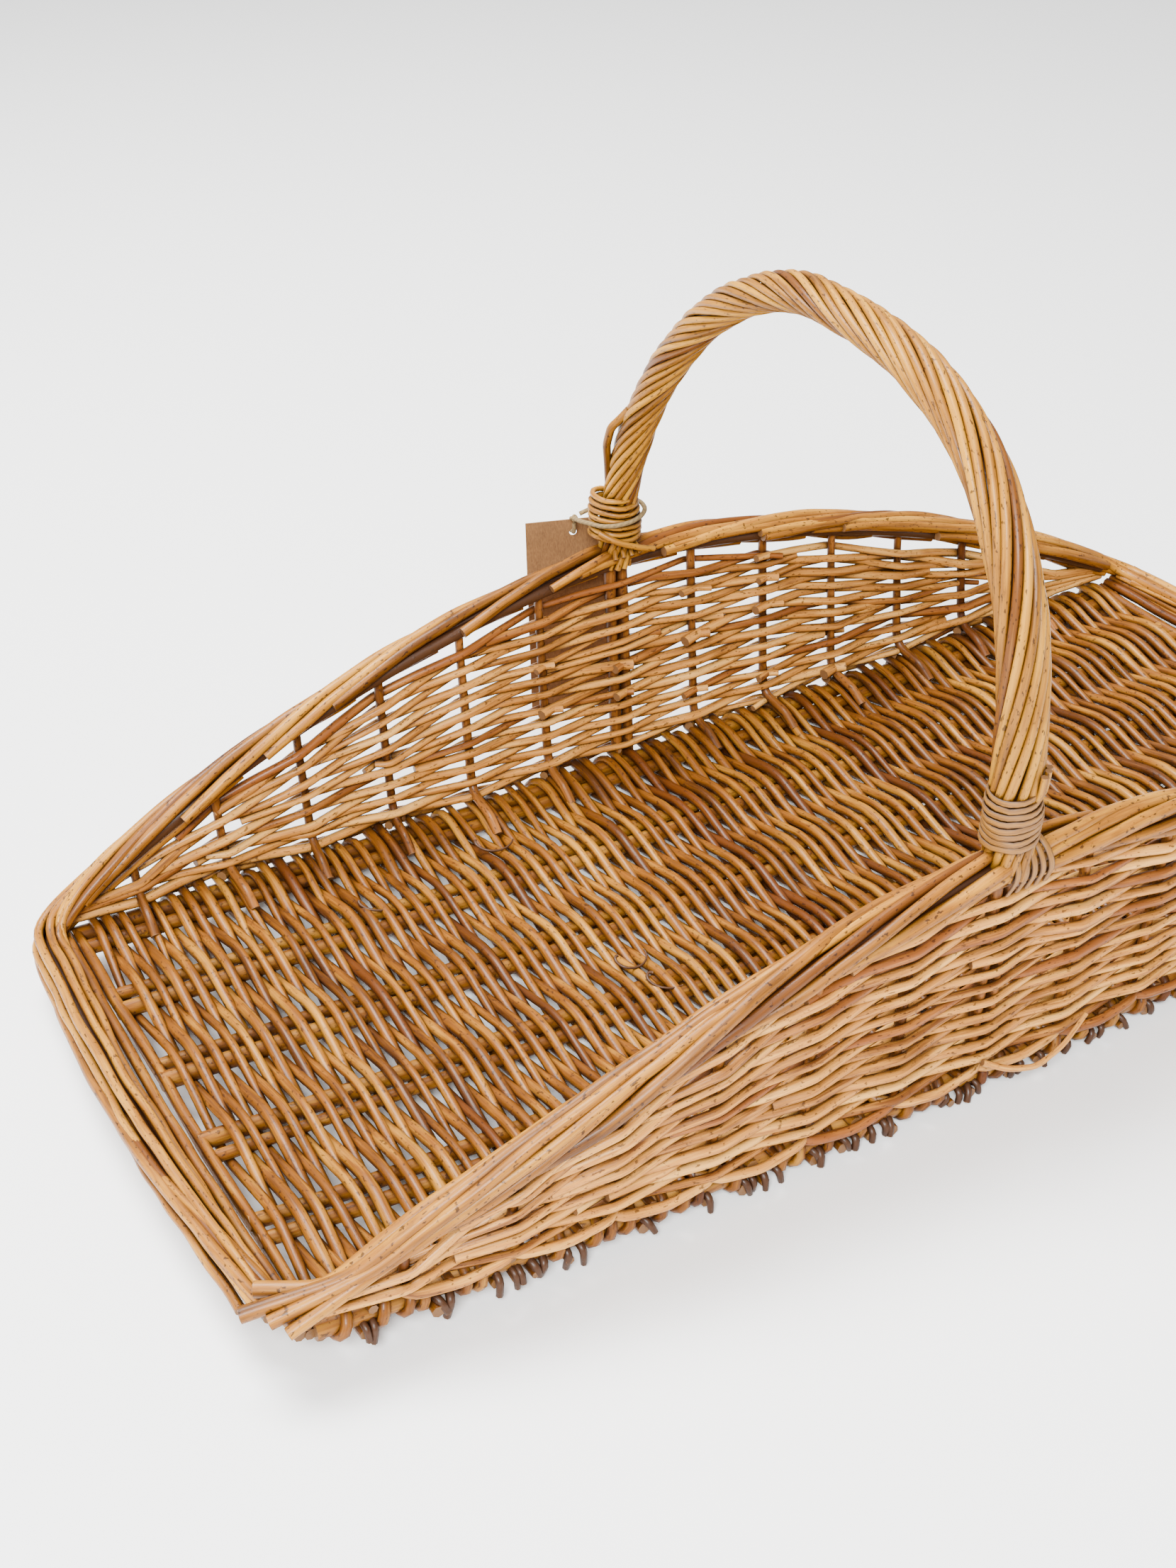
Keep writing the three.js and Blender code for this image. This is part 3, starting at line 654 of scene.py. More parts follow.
def bark_curl(x, y, half_turns, size):
    """A dry curl of bark that lies on the weave."""
    points = []
    steps = 14
    for k in range(steps):
        angle = half_turns * math.pi * k / (steps - 1) + x
        at = (x + size * math.cos(angle) + 0.9 * k) * MM
        height = base_lift(at) + BARK_CURL_HEIGHT + 1.5 * math.sin(angle) * MM
        points.append((at, (y + size * math.sin(angle)) * MM, height))
    return rod(np.array(points), 0.9 * MM, 0.5 * MM, SHADE_AND_BARK_TINT)


def build_base_weave(finish):
    """Weavers zigzag across the base and turn round the edge sticks; cut tips are left below the edge."""
    dice = random.Random(23)
    passes = int(2 * (BASE_HALF_LENGTH - 3 * MM) / WEAVER_PITCH)
    first = -(passes - 1) / 2 * WEAVER_PITCH
    rods, tips, points, left = [], [], [], dice.randint(2, 4)
    for index in range(passes):
        x = first + index * WEAVER_PITCH
        crossing = weaver_pass(index, x, dice)
        if index % 2:
            crossing.reverse()
        side = 1 if crossing[0][1] > 0 else -1
        if not points:
            # A new weaver starts against the edge stick, on the side where it passes.
            at = crossing[0][0]
            points = [(at, side * (edge_of_sticks(at) + 6 * MM), crossing[0][2])]
            if dice.random() < 0.6:
                tips.append(edge_tip(at, side, dice))
        points += crossing
        left -= 1
        side = -side
        at = crossing[-1][0]
        if left > 0 and index < passes - 1:
            onward = x + WEAVER_PITCH + gathered(index + 1, side)
            points += edge_turn(at, onward, side, rising=crossing[-1][2] < base_lift(at) + STICK_HEIGHT)
            continue
        points.append((at + dice.uniform(-1, 1) * MM, side * (edge_of_sticks(at) + dice.uniform(5, 9) * MM),
                       points[-1][2]))
        tips.append(edge_tip(at, side, dice))
        line = eased(points, 4 * MM, 8 * MM)
        butt = WEAVER_RADIUS * dice.uniform(1.0, 1.25)
        tip = WEAVER_RADIUS * dice.uniform(0.74, 0.95)
        if dice.random() < 0.5:
            butt, tip = tip, butt
        rods.append(rod(line, butt, tip, willow_tint(dice, 0.4, 0.14, 0.08), dice=dice))
        points, left = [], dice.randint(1, 3)
    tips += [bark_curl(*curl) for curl in BARK_CURLS]
    piece = make_rods("base_weavers", rods + tips, finish, sides=7)
    stand_in(piece, "buff_willow", "base_weave")


# ---------------------------------------------------------------- side walls

def stake_places():
    """Where a side's uprights are: the stakes, and the bow rods between the sixth and the seventh."""
    return [HANDLE_X + k * STAKE_PITCH for k in range(-STAKES_EACH_WAY, STAKES_EACH_WAY + 1)]


def build_stakes(side, name, finish):
    """Stakes of one side: up through the weave into the border, with a foot over the edge sticks."""
    dice = random.Random(31 + side)
    number = 0
    for x in stake_places():
        if x == HANDLE_X:
            continue
        number += 1
        foot, head = weave_foot(x), weave_head(x)
        wall = wall_side(x, foot)
        top = head + 1.2 * border_rise(x)
        lean = dice.uniform(-2, 2) * MM
        reach = STAKE_FOOT_LENGTH * dice.uniform(0.75, 1.05)
        bottom = base_lift(x) + STICK_HEIGHT + WEAVER_OVER
        points = [
            (x + lean * 1.5, side * (wall - reach), bottom - 3 * MM),
            (x + lean * 1.2, side * (wall - reach + 9 * MM), bottom + 3.5 * MM),
            (x + lean * 0.5, side * (wall - 4 * MM), foot + 3 * MM),
            (x, side * wall_side(x, foot + 9 * MM), foot + 9 * MM),
            (x, side * wall_side(x, (foot + head) / 2), (foot + head) / 2),
            (x, side * wall_side(x, head), head),
            (x, side * wall_side(x, head), top),
        ]
        if head - foot < 20 * MM:
            del points[4]
        stake = rod(eased(points, 4 * MM, 10 * MM), STAKE_RADIUS * 1.1, STAKE_RADIUS,
                    willow_tint(dice, 0.5, 0.15, 0.2), dice=dice)
        piece = make_rods(f"stake_rod_{name}_{number:02d}", [stake], finish, sides=10)
        stand_in(piece, "stake_willow", f"stake_{name}_{number:02d}")


def row_ends(rows, dice):
    """How far out each row reaches at one end of a wall: rows stop two by two as the rim comes down."""
    order = sorted(range(rows), key=lambda row: (int(f"{row // 2:04b}"[::-1], 2), row), reverse=True)
    reach = {}
    x = 0.0
    left = rows
    for row in order:
        while x < ROWS_END and left <= room_for_rows(x):
            x += 2 * MM
        reach[row] = min(x + dice.uniform(-6, 6) * MM, ROWS_END) if left > ROWS_KEPT else ROWS_END
        left -= 1
    return reach


def room_for_rows(x):
    share = abs(x) / SIDE_WEAVE_HALF_LENGTH
    pitch = ROW_PITCH + (END_ROW_PITCH - ROW_PITCH) * share ** 2
    return (weave_head(x) - weave_foot(x)) / pitch


def build_side_weave(side, name, finish):
    """Randing: each row goes in front of one stake and behind the next, row above row turn about."""
    dice = random.Random(47 + side)
    rows = int(room_for_rows(0))
    ends = {-1: row_ends(rows, dice), 1: row_ends(rows, dice)}

    def weights(x):
        reach = ends[-1 if x < 0 else 1]
        return [min(max((reach[row] + 12 * MM - abs(x)) / ROW_FADE, 0.02), 1) for row in range(rows)]

    def row_height(row, x):
        share = weights(x)
        low, high = weave_foot(x), max(weave_head(x), weave_foot(x) + 7 * MM)
        return low + (high - low) * (sum(share[:row]) + share[row] / 2) / sum(share)

    stakes = stake_places()
    inward = np.array([0, -side * 1.5 * MM, 0])
    rods = []
    for row in range(rows):
        marks = []
        wobble = dice.uniform(-0.4, 0.4) * MM
        for number, x in enumerate(stakes):
            if not -ends[-1][row] <= x <= ends[1][row]:
                continue
            outward = 1 if (row + number) % 2 else -1
            marks.append((x + dice.uniform(-1.5, 1.5) * MM, outward * ROW_OFFSET * dice.uniform(0.9, 1.1)))
            middle = x + STAKE_PITCH / 2
            if middle < ends[1][row]:
                marks.append((middle, 0.0))
        if len(marks) < 2:
            continue
        start, stop = -ends[-1][row], ends[1][row]
        marks = [(start, 0.0)] + [m for m in marks if start + 6 * MM < m[0] < stop - 6 * MM] + [(stop, 0.0)]
        spots = []
        for x, offset in marks:
            z = row_height(row, x) + wobble + dice.uniform(-0.8, 0.8) * MM
            spots.append((x, side * (wall_side(x, z) + offset), z, offset))
        # The row is made of several rods, joined behind stakes on the inside.
        joins = [k for k, spot in enumerate(spots) if spot[3] < 0]
        begin = 0
        while begin < len(spots) - 1:
            want = begin + dice.randint(9, 17)
            later = [k for k in joins if k >= want]
            end = later[0] if later and later[0] < len(spots) - 3 else len(spots) - 1
            part = [np.array(spot[:3]) for spot in spots[begin:end + 1]]
            if begin > 0:
                back = (part[0] - part[1]) / np.linalg.norm(part[0] - part[1])
                part.insert(0, part[0] + back * dice.uniform(6, 13) * MM + inward)
            if end < len(spots) - 1:
                on = (part[-1] - part[-2]) / np.linalg.norm(part[-1] - part[-2])
                part.append(part[-1] + on * dice.uniform(5, 11) * MM + inward)
            butt, tip = ROW_RADIUS * dice.uniform(1.0, 1.3), ROW_RADIUS * dice.uniform(0.68, 0.95)
            if dice.random() < 0.5:
                butt, tip = tip, butt
            line = eased(part, 3 * MM, 6 * MM)
            rods.append(rod(line, butt, tip, willow_tint(dice, 0.42, 0.16, 0.14), dice=dice))
            begin = end
    # A chain of single rods from stake to stake along the foot.
    for x in stakes[:-1]:
        ends_at = (x - 5 * MM, x + STAKE_PITCH + 5 * MM)
        points = []
        for share, out, rise in FOOT_CHAIN:
            at = ends_at[0] + (ends_at[1] - ends_at[0]) * share
            z = weave_foot(at) + (rise + dice.uniform(-0.6, 0.6)) * MM - 1 * MM
            points.append((at, side * (wall_side(at, z) + out * MM), z))
        rods.append(rod(eased(points, 4 * MM, 8 * MM), ROW_RADIUS * 1.1, ROW_RADIUS * 0.9,
                        willow_tint(dice, 0.45, 0.15, 0.15), dice=dice))
    if side < 0:
        rods.append(rod(eased(np.array(SPRUNG_TWIG) * MM, 3 * MM, 12 * MM), 1.7 * MM, 1.2 * MM, 0.2))
    piece = make_rods(f"side_rows_{name}", rods, finish, sides=8)
    stand_in(piece, "buff_willow", f"side_weave_{name}")


def build_end_weave(side, name, finish):
    """The last few rods at an end, between the base and the border."""
    dice = random.Random(59 + side)
    rods = []
    steps = round(2 * END_ROW_HALF_LENGTH / END_ROW_STEP) + 1
    for number, (out, up, bow) in enumerate(END_ROWS):
        points = []
        for step in range(steps):
            y = -END_ROW_HALF_LENGTH + step * END_ROW_STEP
            swing = dice.uniform(-0.7, 0.7) * MM
            x = (out - 1.5) * MM + RIM_END_BOW * (1 - (y / BORDER_CORNER_Y) ** 2) * bow + swing
            points.append((side * x, y, up * MM + dice.uniform(-0.7, 0.7) * MM))
        if number % 2:
            points.reverse()
        rods.append(rod(eased(points, 5 * MM, 20 * MM), 3.1 * MM, 2.4 * MM,
                        willow_tint(dice, 0.42, 0.15, 0.15), dice=dice))
    piece = make_rods(f"end_rows_{name}", rods, finish, sides=8)
    stand_in(piece, "buff_willow", f"end_weave_{name}")


# ---------------------------------------------------------------- border

def border_course():
    """The border's centre line from the front left corner along the front and up the right end."""
    points = [(x, -border_side(x), rim_top(x) - border_rise(x))
              for x in np.linspace(-RIM_HALF_LENGTH, BORDER_CORNER_X - 6 * MM, 90)]
    end_z = RIM_TOP_END - BORDER_RADIUS
    points += [(border_end(y), y, end_z)
               for y in np.linspace(-BORDER_CORNER_Y + 10 * MM, BORDER_CORNER_Y, 40)]
    line = eased(points, 3 * MM, 10 * MM)
    along = np.concatenate([[0], np.cumsum(np.linalg.norm(np.diff(line, axis=0), axis=1))])
    ahead = np.gradient(line, axis=0)
    ahead /= np.linalg.norm(ahead, axis=1)[:, None]
    outward = np.stack([ahead[:, 1], -ahead[:, 0], np.zeros(len(line))], 1)
    outward /= np.linalg.norm(outward, axis=1)[:, None]
    upward = np.cross(outward, ahead)
    upward *= np.sign(upward[:, 2:3])
    return {"line": line, "along": along, "outward": outward, "upward": upward}


def on_course(course, s, angle, radius):
    """A point beside the border's centre line: angle 0 is outwards and 90 degrees is up."""
    def look(key):
        return np.array([np.interp(s, course["along"], course[key][:, k]) for k in range(3)])
    turn = math.radians(angle)
    return look("line") + radius * (math.cos(turn) * look("outward") + math.sin(turn) * look("upward"))


def border_strand(course, start, length, dice, first_angle, last_angle, tuck=True, loose=0.45 * MM):
    """One border rod: from a stake it comes out below, passes over the top and ends on the inside."""
    steps = max(6, int(length / (14 * MM)))
    ring = BORDER_RADIUS - STRAND_RADIUS
    stand_off = dice.uniform(-1.2, 0.8) * MM
    points = []
    for k in range(steps + 1):
        share = k / steps
        angle = first_angle + (last_angle - first_angle) * share ** 0.95
        radius = ring * (0.6 + 0.4 * min(1, share * 6)) + stand_off + dice.uniform(-loose, loose)
        points.append(on_course(course, start + length * share, angle + dice.uniform(-4, 4), radius))
    if tuck:
        points.insert(0, on_course(course, start - 6 * MM, first_angle - 30, ring * 0.4))
    return points


def border_piece(half, strands, cores, finish, name, dice, thickness=1.0):
    """The strands of one stretch of border. The back and left are the front and right turned half round."""
    rods = []
    turned = np.array([half, half, 1])
    for points in strands:
        butt = STRAND_RADIUS * thickness * dice.uniform(0.84, 1.16)
        rods.append(rod(eased(points, 5 * MM, 15 * MM) * turned, butt, butt * dice.uniform(0.72, 0.9),
                        willow_tint(dice, 0.36, 0.16, 0.1), dice=dice))
    # The core rods take the dark all-over tint: painted shade seen in the gaps between strands.
    for points in cores:
        rods.append(rod(eased(points, 5 * MM, 30 * MM) * turned, CORE_RADIUS, tint=SHADE_AND_BARK_TINT))
    piece = make_rods(f"border_rods_{name}", rods, finish, sides=12)
    stand_in(piece, "buff_willow", f"border_{name}")


def corner_start(half, k, course, length, dice):
    """A strand that begins at the first corner: as a free butt in front, and out of the end behind."""
    strand = border_strand(course, (34 + 10 * k) * MM, length, dice, (100, 60, 25, -10)[k], 158, False)
    if half > 0:
        return [on_course(course, 0.0, 90, 0) + np.array(FREE_BUTTS[k]) * MM] + strand
    turn = math.radians((120, 80, 40, 0)[k])
    ring = BORDER_RADIUS - STRAND_RADIUS
    lead = []
    for back in (95 - 14 * k, 60 - 8 * k, 34 - 5 * k, 16):
        y = -BORDER_CORNER_Y + back * MM
        z = RIM_TOP_END - BORDER_RADIUS + ring * math.sin(turn)
        lead.append((-border_end(y) - ring * math.cos(turn), y, z))
    return lead + strand


def strands_along_side(half, course, long_side, dice):
    """The rods of a long side: each comes out at a stake and runs over the next four or five."""
    strands = [corner_start(half, k, course, 0.22 + 0.05 * k, dice) for k in range(4)]
    if half < 0:
        strands += [border_strand(course, 28 * MM, 150 * MM, dice, 150, 178, False),
                    border_strand(course, 35 * MM, 240 * MM, dice, 122, 165, False)]
    start = (75 if half > 0 else 30) * MM
    while start < long_side - 100 * MM:
        length = min(STRAND_LENGTH * dice.uniform(0.88, 1.15), long_side + 40 * MM - start)
        strands.append(border_strand(course, start, length, dice, dice.uniform(-95, -70),
                                     dice.uniform(155, 185)))
        start += STAKE_PITCH * dice.uniform(0.85, 1.1)
    return strands


def strands_along_end(course, whole, long_side, dice):
    """The rods of an end: six turn the corner and run all along, and three cross over them."""
    strands = []
    for k, stop in enumerate(END_STRAND_STOPS):
        begin = long_side - 120 * MM + 20 * MM * k
        strands.append(border_strand(course, begin, whole - stop - begin, dice, -105 + 48 * k, -45 + 48 * k,
                                     False, 1.1 * MM))
    for k in range(3):
        begin = long_side + 12 * MM + 75 * MM * k
        last = whole - 18 * MM - 4 * MM * k
        strands.append(border_strand(course, begin, last - begin, dice, -60 + 15 * k, 75 + 35 * k, True,
                                     0.6 * MM))
    return strands


def build_border(finish):
    """The border of each long side, and of the end that its rods run on into."""
    course = border_course()
    whole = course["along"][-1]
    long_side = whole - 2 * BORDER_CORNER_Y
    for half, side_name, end_name in ((1, "front", "right"), (-1, "back", "left")):
        dice = random.Random(71 + half)
        side_strands = strands_along_side(half, course, long_side, dice)
        end_strands = strands_along_end(course, whole, long_side, dice)
        side_cores = [[on_course(course, s, angle, CORE_OFFSET) for s in np.linspace(30 * MM, long_side, 60)]
                      for angle in (20, 200)]
        end_cores = [[on_course(course, s, 20, 0)
                      for s in np.linspace(long_side - 20 * MM, whole - 20 * MM, 30)]]
        border_piece(half, side_strands, side_cores, finish, side_name, dice)
        border_piece(half, end_strands, end_cores, finish, end_name, dice, thickness=END_STRAND_SHARE)


# ---------------------------------------------------------------- handle

def handle_course():
    """The bow's centre line from below the back lashing over the top to below the front one."""
    points = [handle_point(a) for a in np.linspace(0, math.pi, 160)]
    down = np.array([0, 0, -14 * MM])
    points = [points[0] + down] + points + [points[-1] + down]
    line = eased(points, 3 * MM, 24 * MM)
    along = np.concatenate([[0], np.cumsum(np.linalg.norm(np.diff(line, axis=0), axis=1))])
    ahead = np.gradient(line, axis=0)
    ahead /= np.linalg.norm(ahead, axis=1)[:, None]
    beside = np.tile([1.0, 0, 0], (len(line), 1))
    beside -= ahead * (beside * ahead).sum(1)[:, None]
    beside /= np.linalg.norm(beside, axis=1)[:, None]
    over = np.cross(ahead, beside)
    return line, along, ahead, beside, over


def build_bows(finish):
    """The two long rods inside: up through one wall, over, and down through the other."""
    for number, shift in ((1, -BOW_ROD_HALF_SPACING), (2, BOW_ROD_HALF_SPACING)):
        dice = random.Random(83 + number)
        feet = []
        for side in (1, -1):
            x = HANDLE_X + shift
            low = base_lift(x) + BASE_THICKNESS
            heights = (low, weave_foot(x) + 10 * MM, (low + weave_head(x)) / 2, weave_head(x))
            feet.append([(x, side * wall_side(x, z), z) for z in heights])
        arch = [handle_point(a) + np.array([shift, 0, 0]) for a in np.linspace(0, math.pi, 60)]
        points = feet[0] + arch + feet[1][::-1]
        bow = rod(eased(points, 6 * MM, 24 * MM), BOW_ROD_RADIUS, BOW_ROD_RADIUS * 0.92, 0.55, dice=dice)
        piece = make_rods(f"bow_rod_{number}", [bow], finish, sides=12)
        stand_in(piece, "stake_willow", f"handle_bow_{number}")


def build_roping(finish):
    """Thin rods laid side by side round the bow in a long helix, slacker towards the front foot."""
    dice = random.Random(97)
    line, along, ahead, beside, over = handle_course()
    share = along / along[-1]
    ease_in = np.clip((share - 0.42) / 0.40, 0, 1)
    ease_in = ease_in ** 2 * (3 - 2 * ease_in)
    pitch = ROPING_PITCH[0] + (ROPING_PITCH[1] - ROPING_PITCH[0]) * ease_in
    outer = ROPING_RADIUS[0] + (ROPING_RADIUS[1] - ROPING_RADIUS[0]) * ease_in
    turn = np.concatenate([[0], np.cumsum(np.diff(along) * 2 * math.pi / pitch[1:])])
    rods = []
    for k in range(ROPING_RODS):
        phase = 2 * math.pi * k / ROPING_RODS + dice.uniform(-0.03, 0.03)
        ring = outer * 0.76
        slant = np.arctan(2 * math.pi * ring / pitch)
        radius = math.pi * ring * np.cos(slant) / ROPING_RODS * 1.1
        sway = np.interp(share, np.linspace(0, 1, 12), [dice.uniform(-0.045, 0.045) for _ in range(12)])
        lift = np.interp(share, np.linspace(0, 1, 16),
                         [dice.uniform(-0.35, 0.5) for _ in range(16)]) * MM
        angle = phase + turn + sway
        reach = (outer - radius + lift)[:, None]
        path = line + reach * (np.cos(angle)[:, None] * beside + np.sin(angle)[:, None] * over)
        made = rod(path, 1 * MM, tint=willow_tint(dice, 0.3, 0.2, 0.08))
        made["radius"] = np.interp(made["along"] / made["along"][-1], share,
                                   radius * dice.uniform(0.93, 1.08))
        rods.append(made)
    # The inner rods that fill the space under the roping, tinted dark all over as painted shade in the gaps
    # between the roping rods.
    for turned in (0, math.pi):
        filler = line + FILLER_OFFSET * (math.cos(turned) * beside + math.sin(turned) * over)
        made = rod(filler, 1 * MM, tint=SHADE_AND_BARK_TINT)
        made["radius"] = np.interp(made["along"] / made["along"][-1], share,
                                   outer - 2.9 * MM - FILLER_OFFSET)
        rods.append(made)
    loop = []
    for height, off in STRAY_LOOP:
        spot = int(np.argmin(abs(line[:len(line) // 3, 2] - height * MM)))
        loop.append(line[spot] + off * MM * (-0.86 * beside[spot] + 0.5 * over[spot]))
    rods.append(rod(eased(loop, 2 * MM, 4 * MM), 2.4 * MM, 2.2 * MM, 0.6))
    piece = make_rods("roping_rods", rods, finish, sides=10)
    stand_in(piece, "buff_willow", "handle_roping")


def lashing_turns(foot, turns, radius, tilt, dice):
    """The turns wound round a foot, drawn in a little at the top, and which way each point faces."""
    low = RIM_TOP_MIDDLE + LASHING_ABOVE_RIM
    points, face = [], []
    steps = turns * LASHING_STEPS_A_TURN
    for k in range(steps + 1):
        angle = 2 * math.pi * turns * k / steps + 0.7
        share = k / steps
        ripple = 0.35 * math.sin(angle * 3 + share * 9)
        wide = radius + (ripple - 1.7 * max(0, (share - 0.6) / 0.4)) * MM
        x, y = wide * math.cos(angle), wide * math.sin(angle)
        z = low + LASHING_HEIGHT * share + tilt * x + dice.uniform(-0.25, 0.25) * MM
        points.append(foot + np.array([x, y, z]))
        face.append([math.cos(angle), math.sin(angle), 0.0])
    return np.array(points), np.array(face)


def lashing_tail(x, fan, side, angles):
    """A tail over the border's top and some way down the part of it that faces the front."""
    y = side * border_side(x)
    z = rim_top(x) - border_rise(x)
    ring = BORDER_RADIUS + TAIL_CLEARANCE
    points = [(x - fan * 0.3, y + 3 * MM, z + ring + 8 * MM), (x, y - 0.5 * MM, z + ring)]
    for angle in angles:
        turn = math.radians(angle)
        points.append((x + fan * angle / 60, y - ring * math.sin(turn), z + ring * math.cos(turn)))
    return points


def build_back_lashing(willow):
    """A thin rod wound round the back foot, its four tails over the border, and one rod across the turns."""
    dice = random.Random(102)
    foot = np.array([HANDLE_X, HANDLE_HALF_SPAN, 0])
    wound, _ = lashing_turns(foot, BACK_LASHING_TURNS, BACK_LASHING_RADIUS, BACK_LASHING_TILT, dice)
    coil = [rod(wound, 1.75 * MM, 1.55 * MM, 0.3, dice=dice)]
    stand_in(make_rods("lashing_back_turns", coil, willow, sides=10), "split_willow", "handle_lashing_back")

    tails = []
    for k in range(4):
        x = HANDLE_X + 6 * MM + (k - 2.3) * 3.6 * MM
        fan = (k - 2.3) * 1.6 * MM
        line = eased(lashing_tail(x, fan, 1, (20, 40, 62)), 2.5 * MM, 5 * MM)
        tails.append(rod(line, 1.6 * MM, 1.4 * MM, willow_tint(dice, 0.3, 0.1, 0)))
    stand_in(make_rods("lashing_back_tails", tails, willow, sides=10), "split_willow", "lashing_strands_back")

    crossing = eased(foot + np.array(CROSSING_ROD) * MM, 3 * MM, 10 * MM)
    ends = [rod(crossing, 1.9 * MM, 1.7 * MM, 0.3)]
    stand_in(make_rods("lashing_back_ends", ends, willow, sides=10), "split_willow")


def build_front_lashing(willow, skein):
    """A split skein wound round the front foot, five tails over the border, and cut ends above the turns."""
    dice = random.Random(100)
    foot = np.array([HANDLE_X, -HANDLE_HALF_SPAN, 0])
    wound, face = lashing_turns(foot, FRONT_LASHING_TURNS, FRONT_LASHING_RADIUS, FRONT_LASHING_TILT, dice)
    coil = [rod(wound, 1.66 * MM, 1.62 * MM, 0.4, face=face)]
    piece = make_rods("lashing_front_turns", coil, skein, sides=10, thickness_share=0.38)
    stand_in(piece, "split_willow", "handle_lashing_front")

    tails = []
    for k in range(5):
        x = HANDLE_X + 8 * MM + (k - 2.3) * 3.5 * MM
        fan = (k - 2.3) * 0.9 * MM
        middle = np.array([0, -border_side(x), rim_top(x) - border_rise(x)])
        ring = BORDER_RADIUS + TAIL_CLEARANCE
        below = (x + fan * 2.1, middle[1] - (ring - 4 * MM), middle[2] - ring * 0.9)
        line = eased(lashing_tail(x, fan, -1, (25, 50, 78, 100)) + [below], 2.5 * MM, 5 * MM)
        away = line - middle
        away[:, 0] = 0
        away /= np.linalg.norm(away, axis=1)[:, None]
        tails.append(rod(line, 1.72 * MM, 1.66 * MM, dice.uniform(0.2, 0.7), face=away))
    piece = make_rods("lashing_front_tails", tails, skein, sides=10, thickness_share=0.4)
    stand_in(piece, "split_willow", "lashing_strands_front")

    ends = []
    top = np.array([0, 0, RIM_TOP_MIDDLE + LASHING_ABOVE_RIM + LASHING_HEIGHT])
    upward = np.array([0, 0, MM])
    for k in range(6):
        angle = math.radians(-72 + 17 * k)
        away = np.array([math.cos(angle), math.sin(angle), 0]) * MM
        stub = [foot + away * 9.5 + top - upward * 7,
                foot + away * 12.6 + top + upward,
                foot + away * 13.4 + top + upward * dice.uniform(5, 12)]
        ends.append(rod(eased(stub, 2 * MM, 4 * MM), 1.7 * MM, 1.6 * MM, dice.uniform(0.1, 0.5)))
    stand_in(make_rods("lashing_front_ends", ends, willow, sides=10), "split_willow")


# ---------------------------------------------------------------- twine and tag

def tag_place(point):
    """A point in the tag's own frame, whose origin is the hole, put in the basket's frame."""
    return np.array(TAG_HOLE + Matrix.Rotation(TAG_TURN, 3, "Z") @ (Vector(point) * MM))


def knot_rod(middle, size, thickness):
    """A small overhand knot pulled tight."""
    points = []
    for k in range(50):
        t = 2 * math.pi * k / 48
        knot = (math.sin(t) + 2 * math.sin(2 * t), math.cos(t) - 2 * math.cos(2 * t), -math.sin(3 * t))
        points.append(middle + np.array(knot) * size / 3)
    return rod(np.array(points), thickness, tint=0.4)


def build_twine(finish):
    """Twine tied round the back lashing, its knot, the loop through the tag's hole and its stopper knot."""
    route = eased(np.array(TWINE_WRAP) * MM, 1.5 * MM, 9 * MM)
    wrap = make_rods("twine_round_lashing", [rod(route, TWINE_RADIUS, tint=0.4)], finish, sides=10)
    stand_in(wrap, "jute_twine", "twine_wrap")
    tied = knot_rod(tag_place(TWINE_KNOT), 1.9 * MM, 0.95 * MM)
    knot = make_rods("twine_tied_knot", [tied], finish, sides=8)
    stand_in(knot, "jute_twine", "twine_knot")
    drop_route = eased([tag_place(p) for p in TWINE_DROP], 1 * MM, 3 * MM)
    drop = make_rods("twine_through_tag", [rod(drop_route, TWINE_RADIUS * 0.85, tint=0.4)], finish, sides=10)
    stand_in(drop, "jute_twine", "twine_drop", body="tag")
    stopped = knot_rod(tag_place(TWINE_END_KNOT), 2.1 * MM, 1.1 * MM)
    stopper = make_rods("twine_stopper_knot", [stopped], finish, sides=8)
    stand_in(stopper, "jute_twine", "twine_end_knot", body="tag")


def finish_tag(finish):
    card = bpy.data.objects["swing_tag"]
    card.data.materials.clear()
    card.data.materials.append(finish)


# ---------------------------------------------------------------- stage

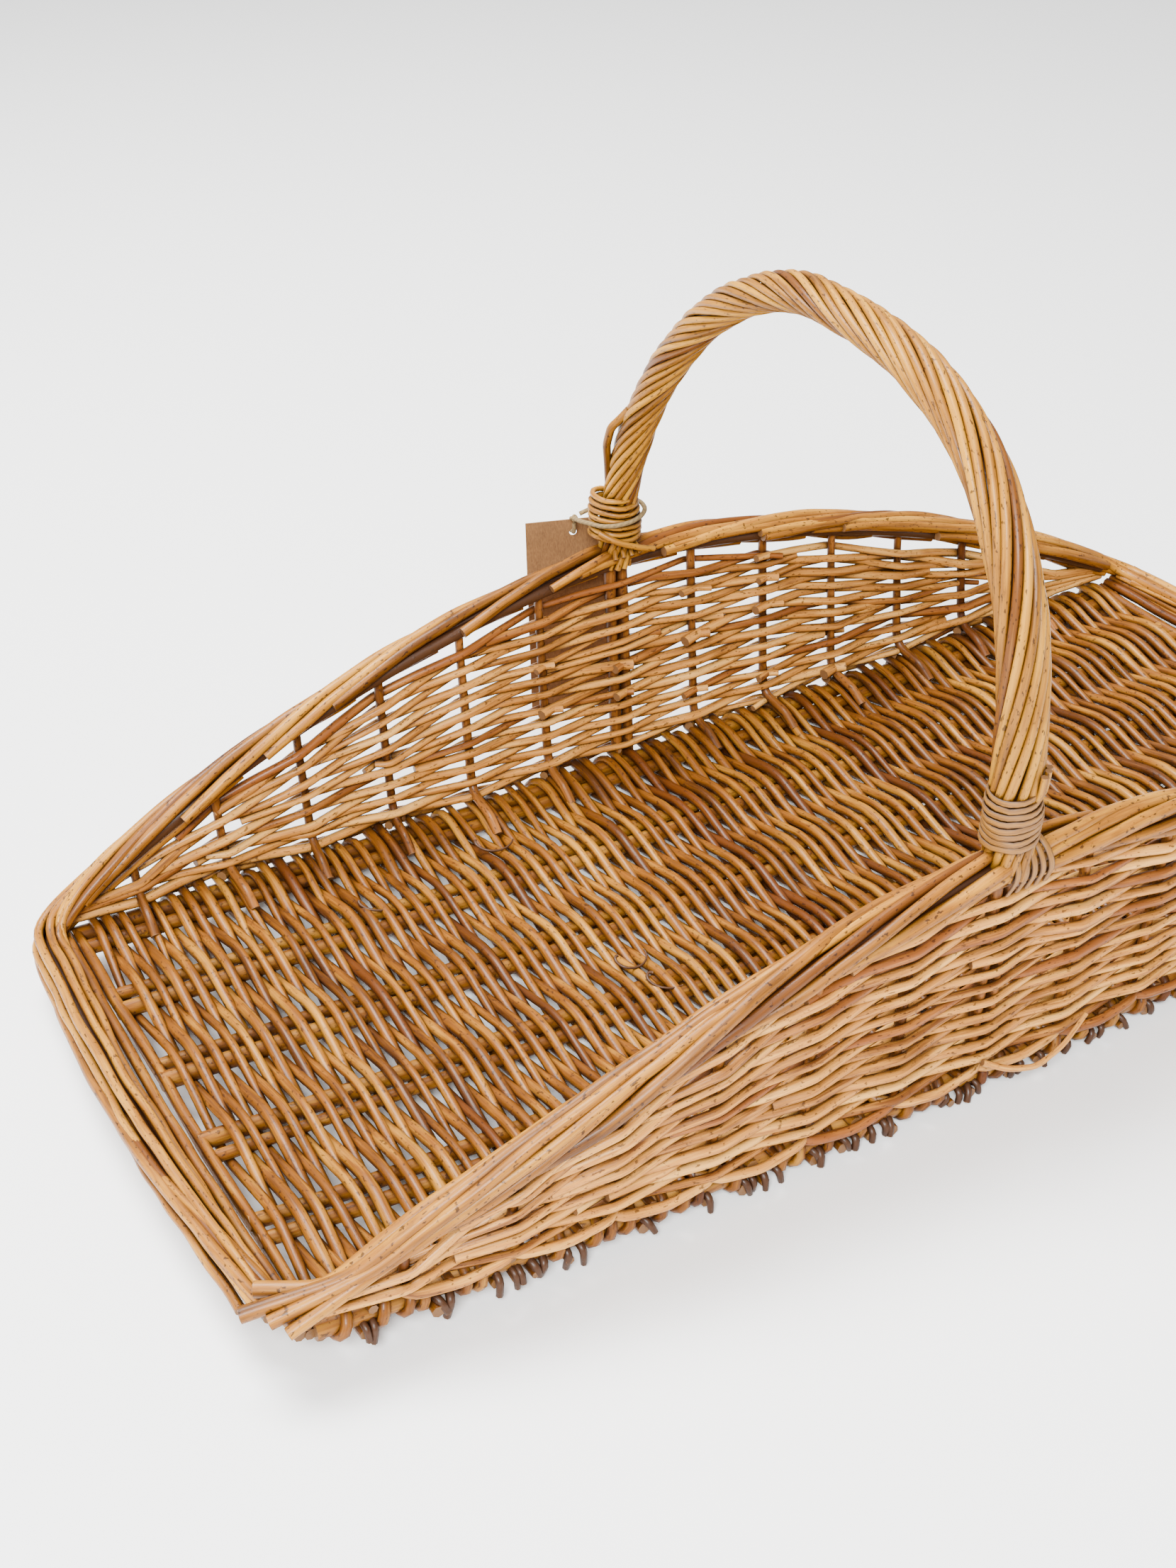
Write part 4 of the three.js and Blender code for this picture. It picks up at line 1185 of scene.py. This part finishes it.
def build_stage():
    """A plain pale floor, a broad light overhead and a soft one at the front left."""
    material, tree = new_material("studio_paper_matt")
    surface = node(tree, "ShaderNodeBsdfPrincipled", {"Base Color": linear("#F4F4F3"), "Roughness": 0.95,
                                                      "Specular IOR Level": 0.1})
    node(tree, "ShaderNodeOutputMaterial", {"Surface": surface.outputs[0]})
    mesh = bpy.data.meshes.new("floor")
    mesh.from_pydata([(-FLOOR_REACH, -FLOOR_REACH, 0), (FLOOR_REACH, -FLOOR_REACH, 0),
                      (FLOOR_REACH, FLOOR_REACH, 0), (-FLOOR_REACH, FLOOR_REACH, 0)], [], [(0, 1, 2, 3)])
    mesh.materials.append(material)
    floor = bpy.data.objects.new("floor", mesh)
    bpy.context.scene.collection.objects.link(floor)
    world = bpy.data.worlds.new("studio")
    world.use_nodes = True
    background = world.node_tree.nodes["Background"]
    background.inputs["Color"].default_value = linear("#F6F7F8")
    background.inputs["Strength"].default_value = WORLD_STRENGTH
    bpy.context.scene.world = world
    for name, (place, size, power) in LAMPS.items():
        light = bpy.data.lights.new(name, "AREA")
        light.shape = "SQUARE"
        light.size = size
        light.energy = power
        lamp = bpy.data.objects.new(name, light)
        lamp.location = place
        lamp.rotation_euler = (Vector(place) - LAMP_AIM).to_track_quat("Z", "Y").to_euler()
        bpy.context.scene.collection.objects.link(lamp)


# ---------------------------------------------------------------- all of it

# The finishes' colours go from a rod's palest tone to its deepest, and then the reddish one.
place_camera()
build_twine(jute_finish())
finish_tag(kraft_finish())

BASE_WILLOW = willow_finish("base_buff_willow_varnished", "#A47022", "#76440E", "#422206", "#623008")
WALL_WILLOW = willow_finish("wall_buff_willow_varnished", "#E0A654", "#BE7E34", "#6C3E16", "#985420")
BORDER_WILLOW = willow_finish("border_buff_willow_varnished", "#B87F26", "#8E5816", "#522E08", "#703A0C",
                              speck=0.8)
STAKE_WILLOW = willow_finish("stake_buff_willow_varnished", "#A4662A", "#7A4818", "#482608", "#60300E")
HANDLE_WILLOW = willow_finish("handle_buff_willow_varnished", "#B88020", "#925E16", "#563208", "#743E0E",
                              speck=0.8)

build_base_sticks(BASE_WILLOW)
build_base_weave(BASE_WILLOW)
for side, name in ((-1, "front"), (1, "back")):
    build_stakes(side, name, STAKE_WILLOW)
    build_side_weave(side, name, WALL_WILLOW)
for side, name in ((-1, "left"), (1, "right")):
    build_end_weave(side, name, BASE_WILLOW)
build_border(BORDER_WILLOW)
build_bows(STAKE_WILLOW)
build_roping(HANDLE_WILLOW)
build_front_lashing(HANDLE_WILLOW, skein_finish("split_willow_skein"))
build_back_lashing(HANDLE_WILLOW)
build_stage()
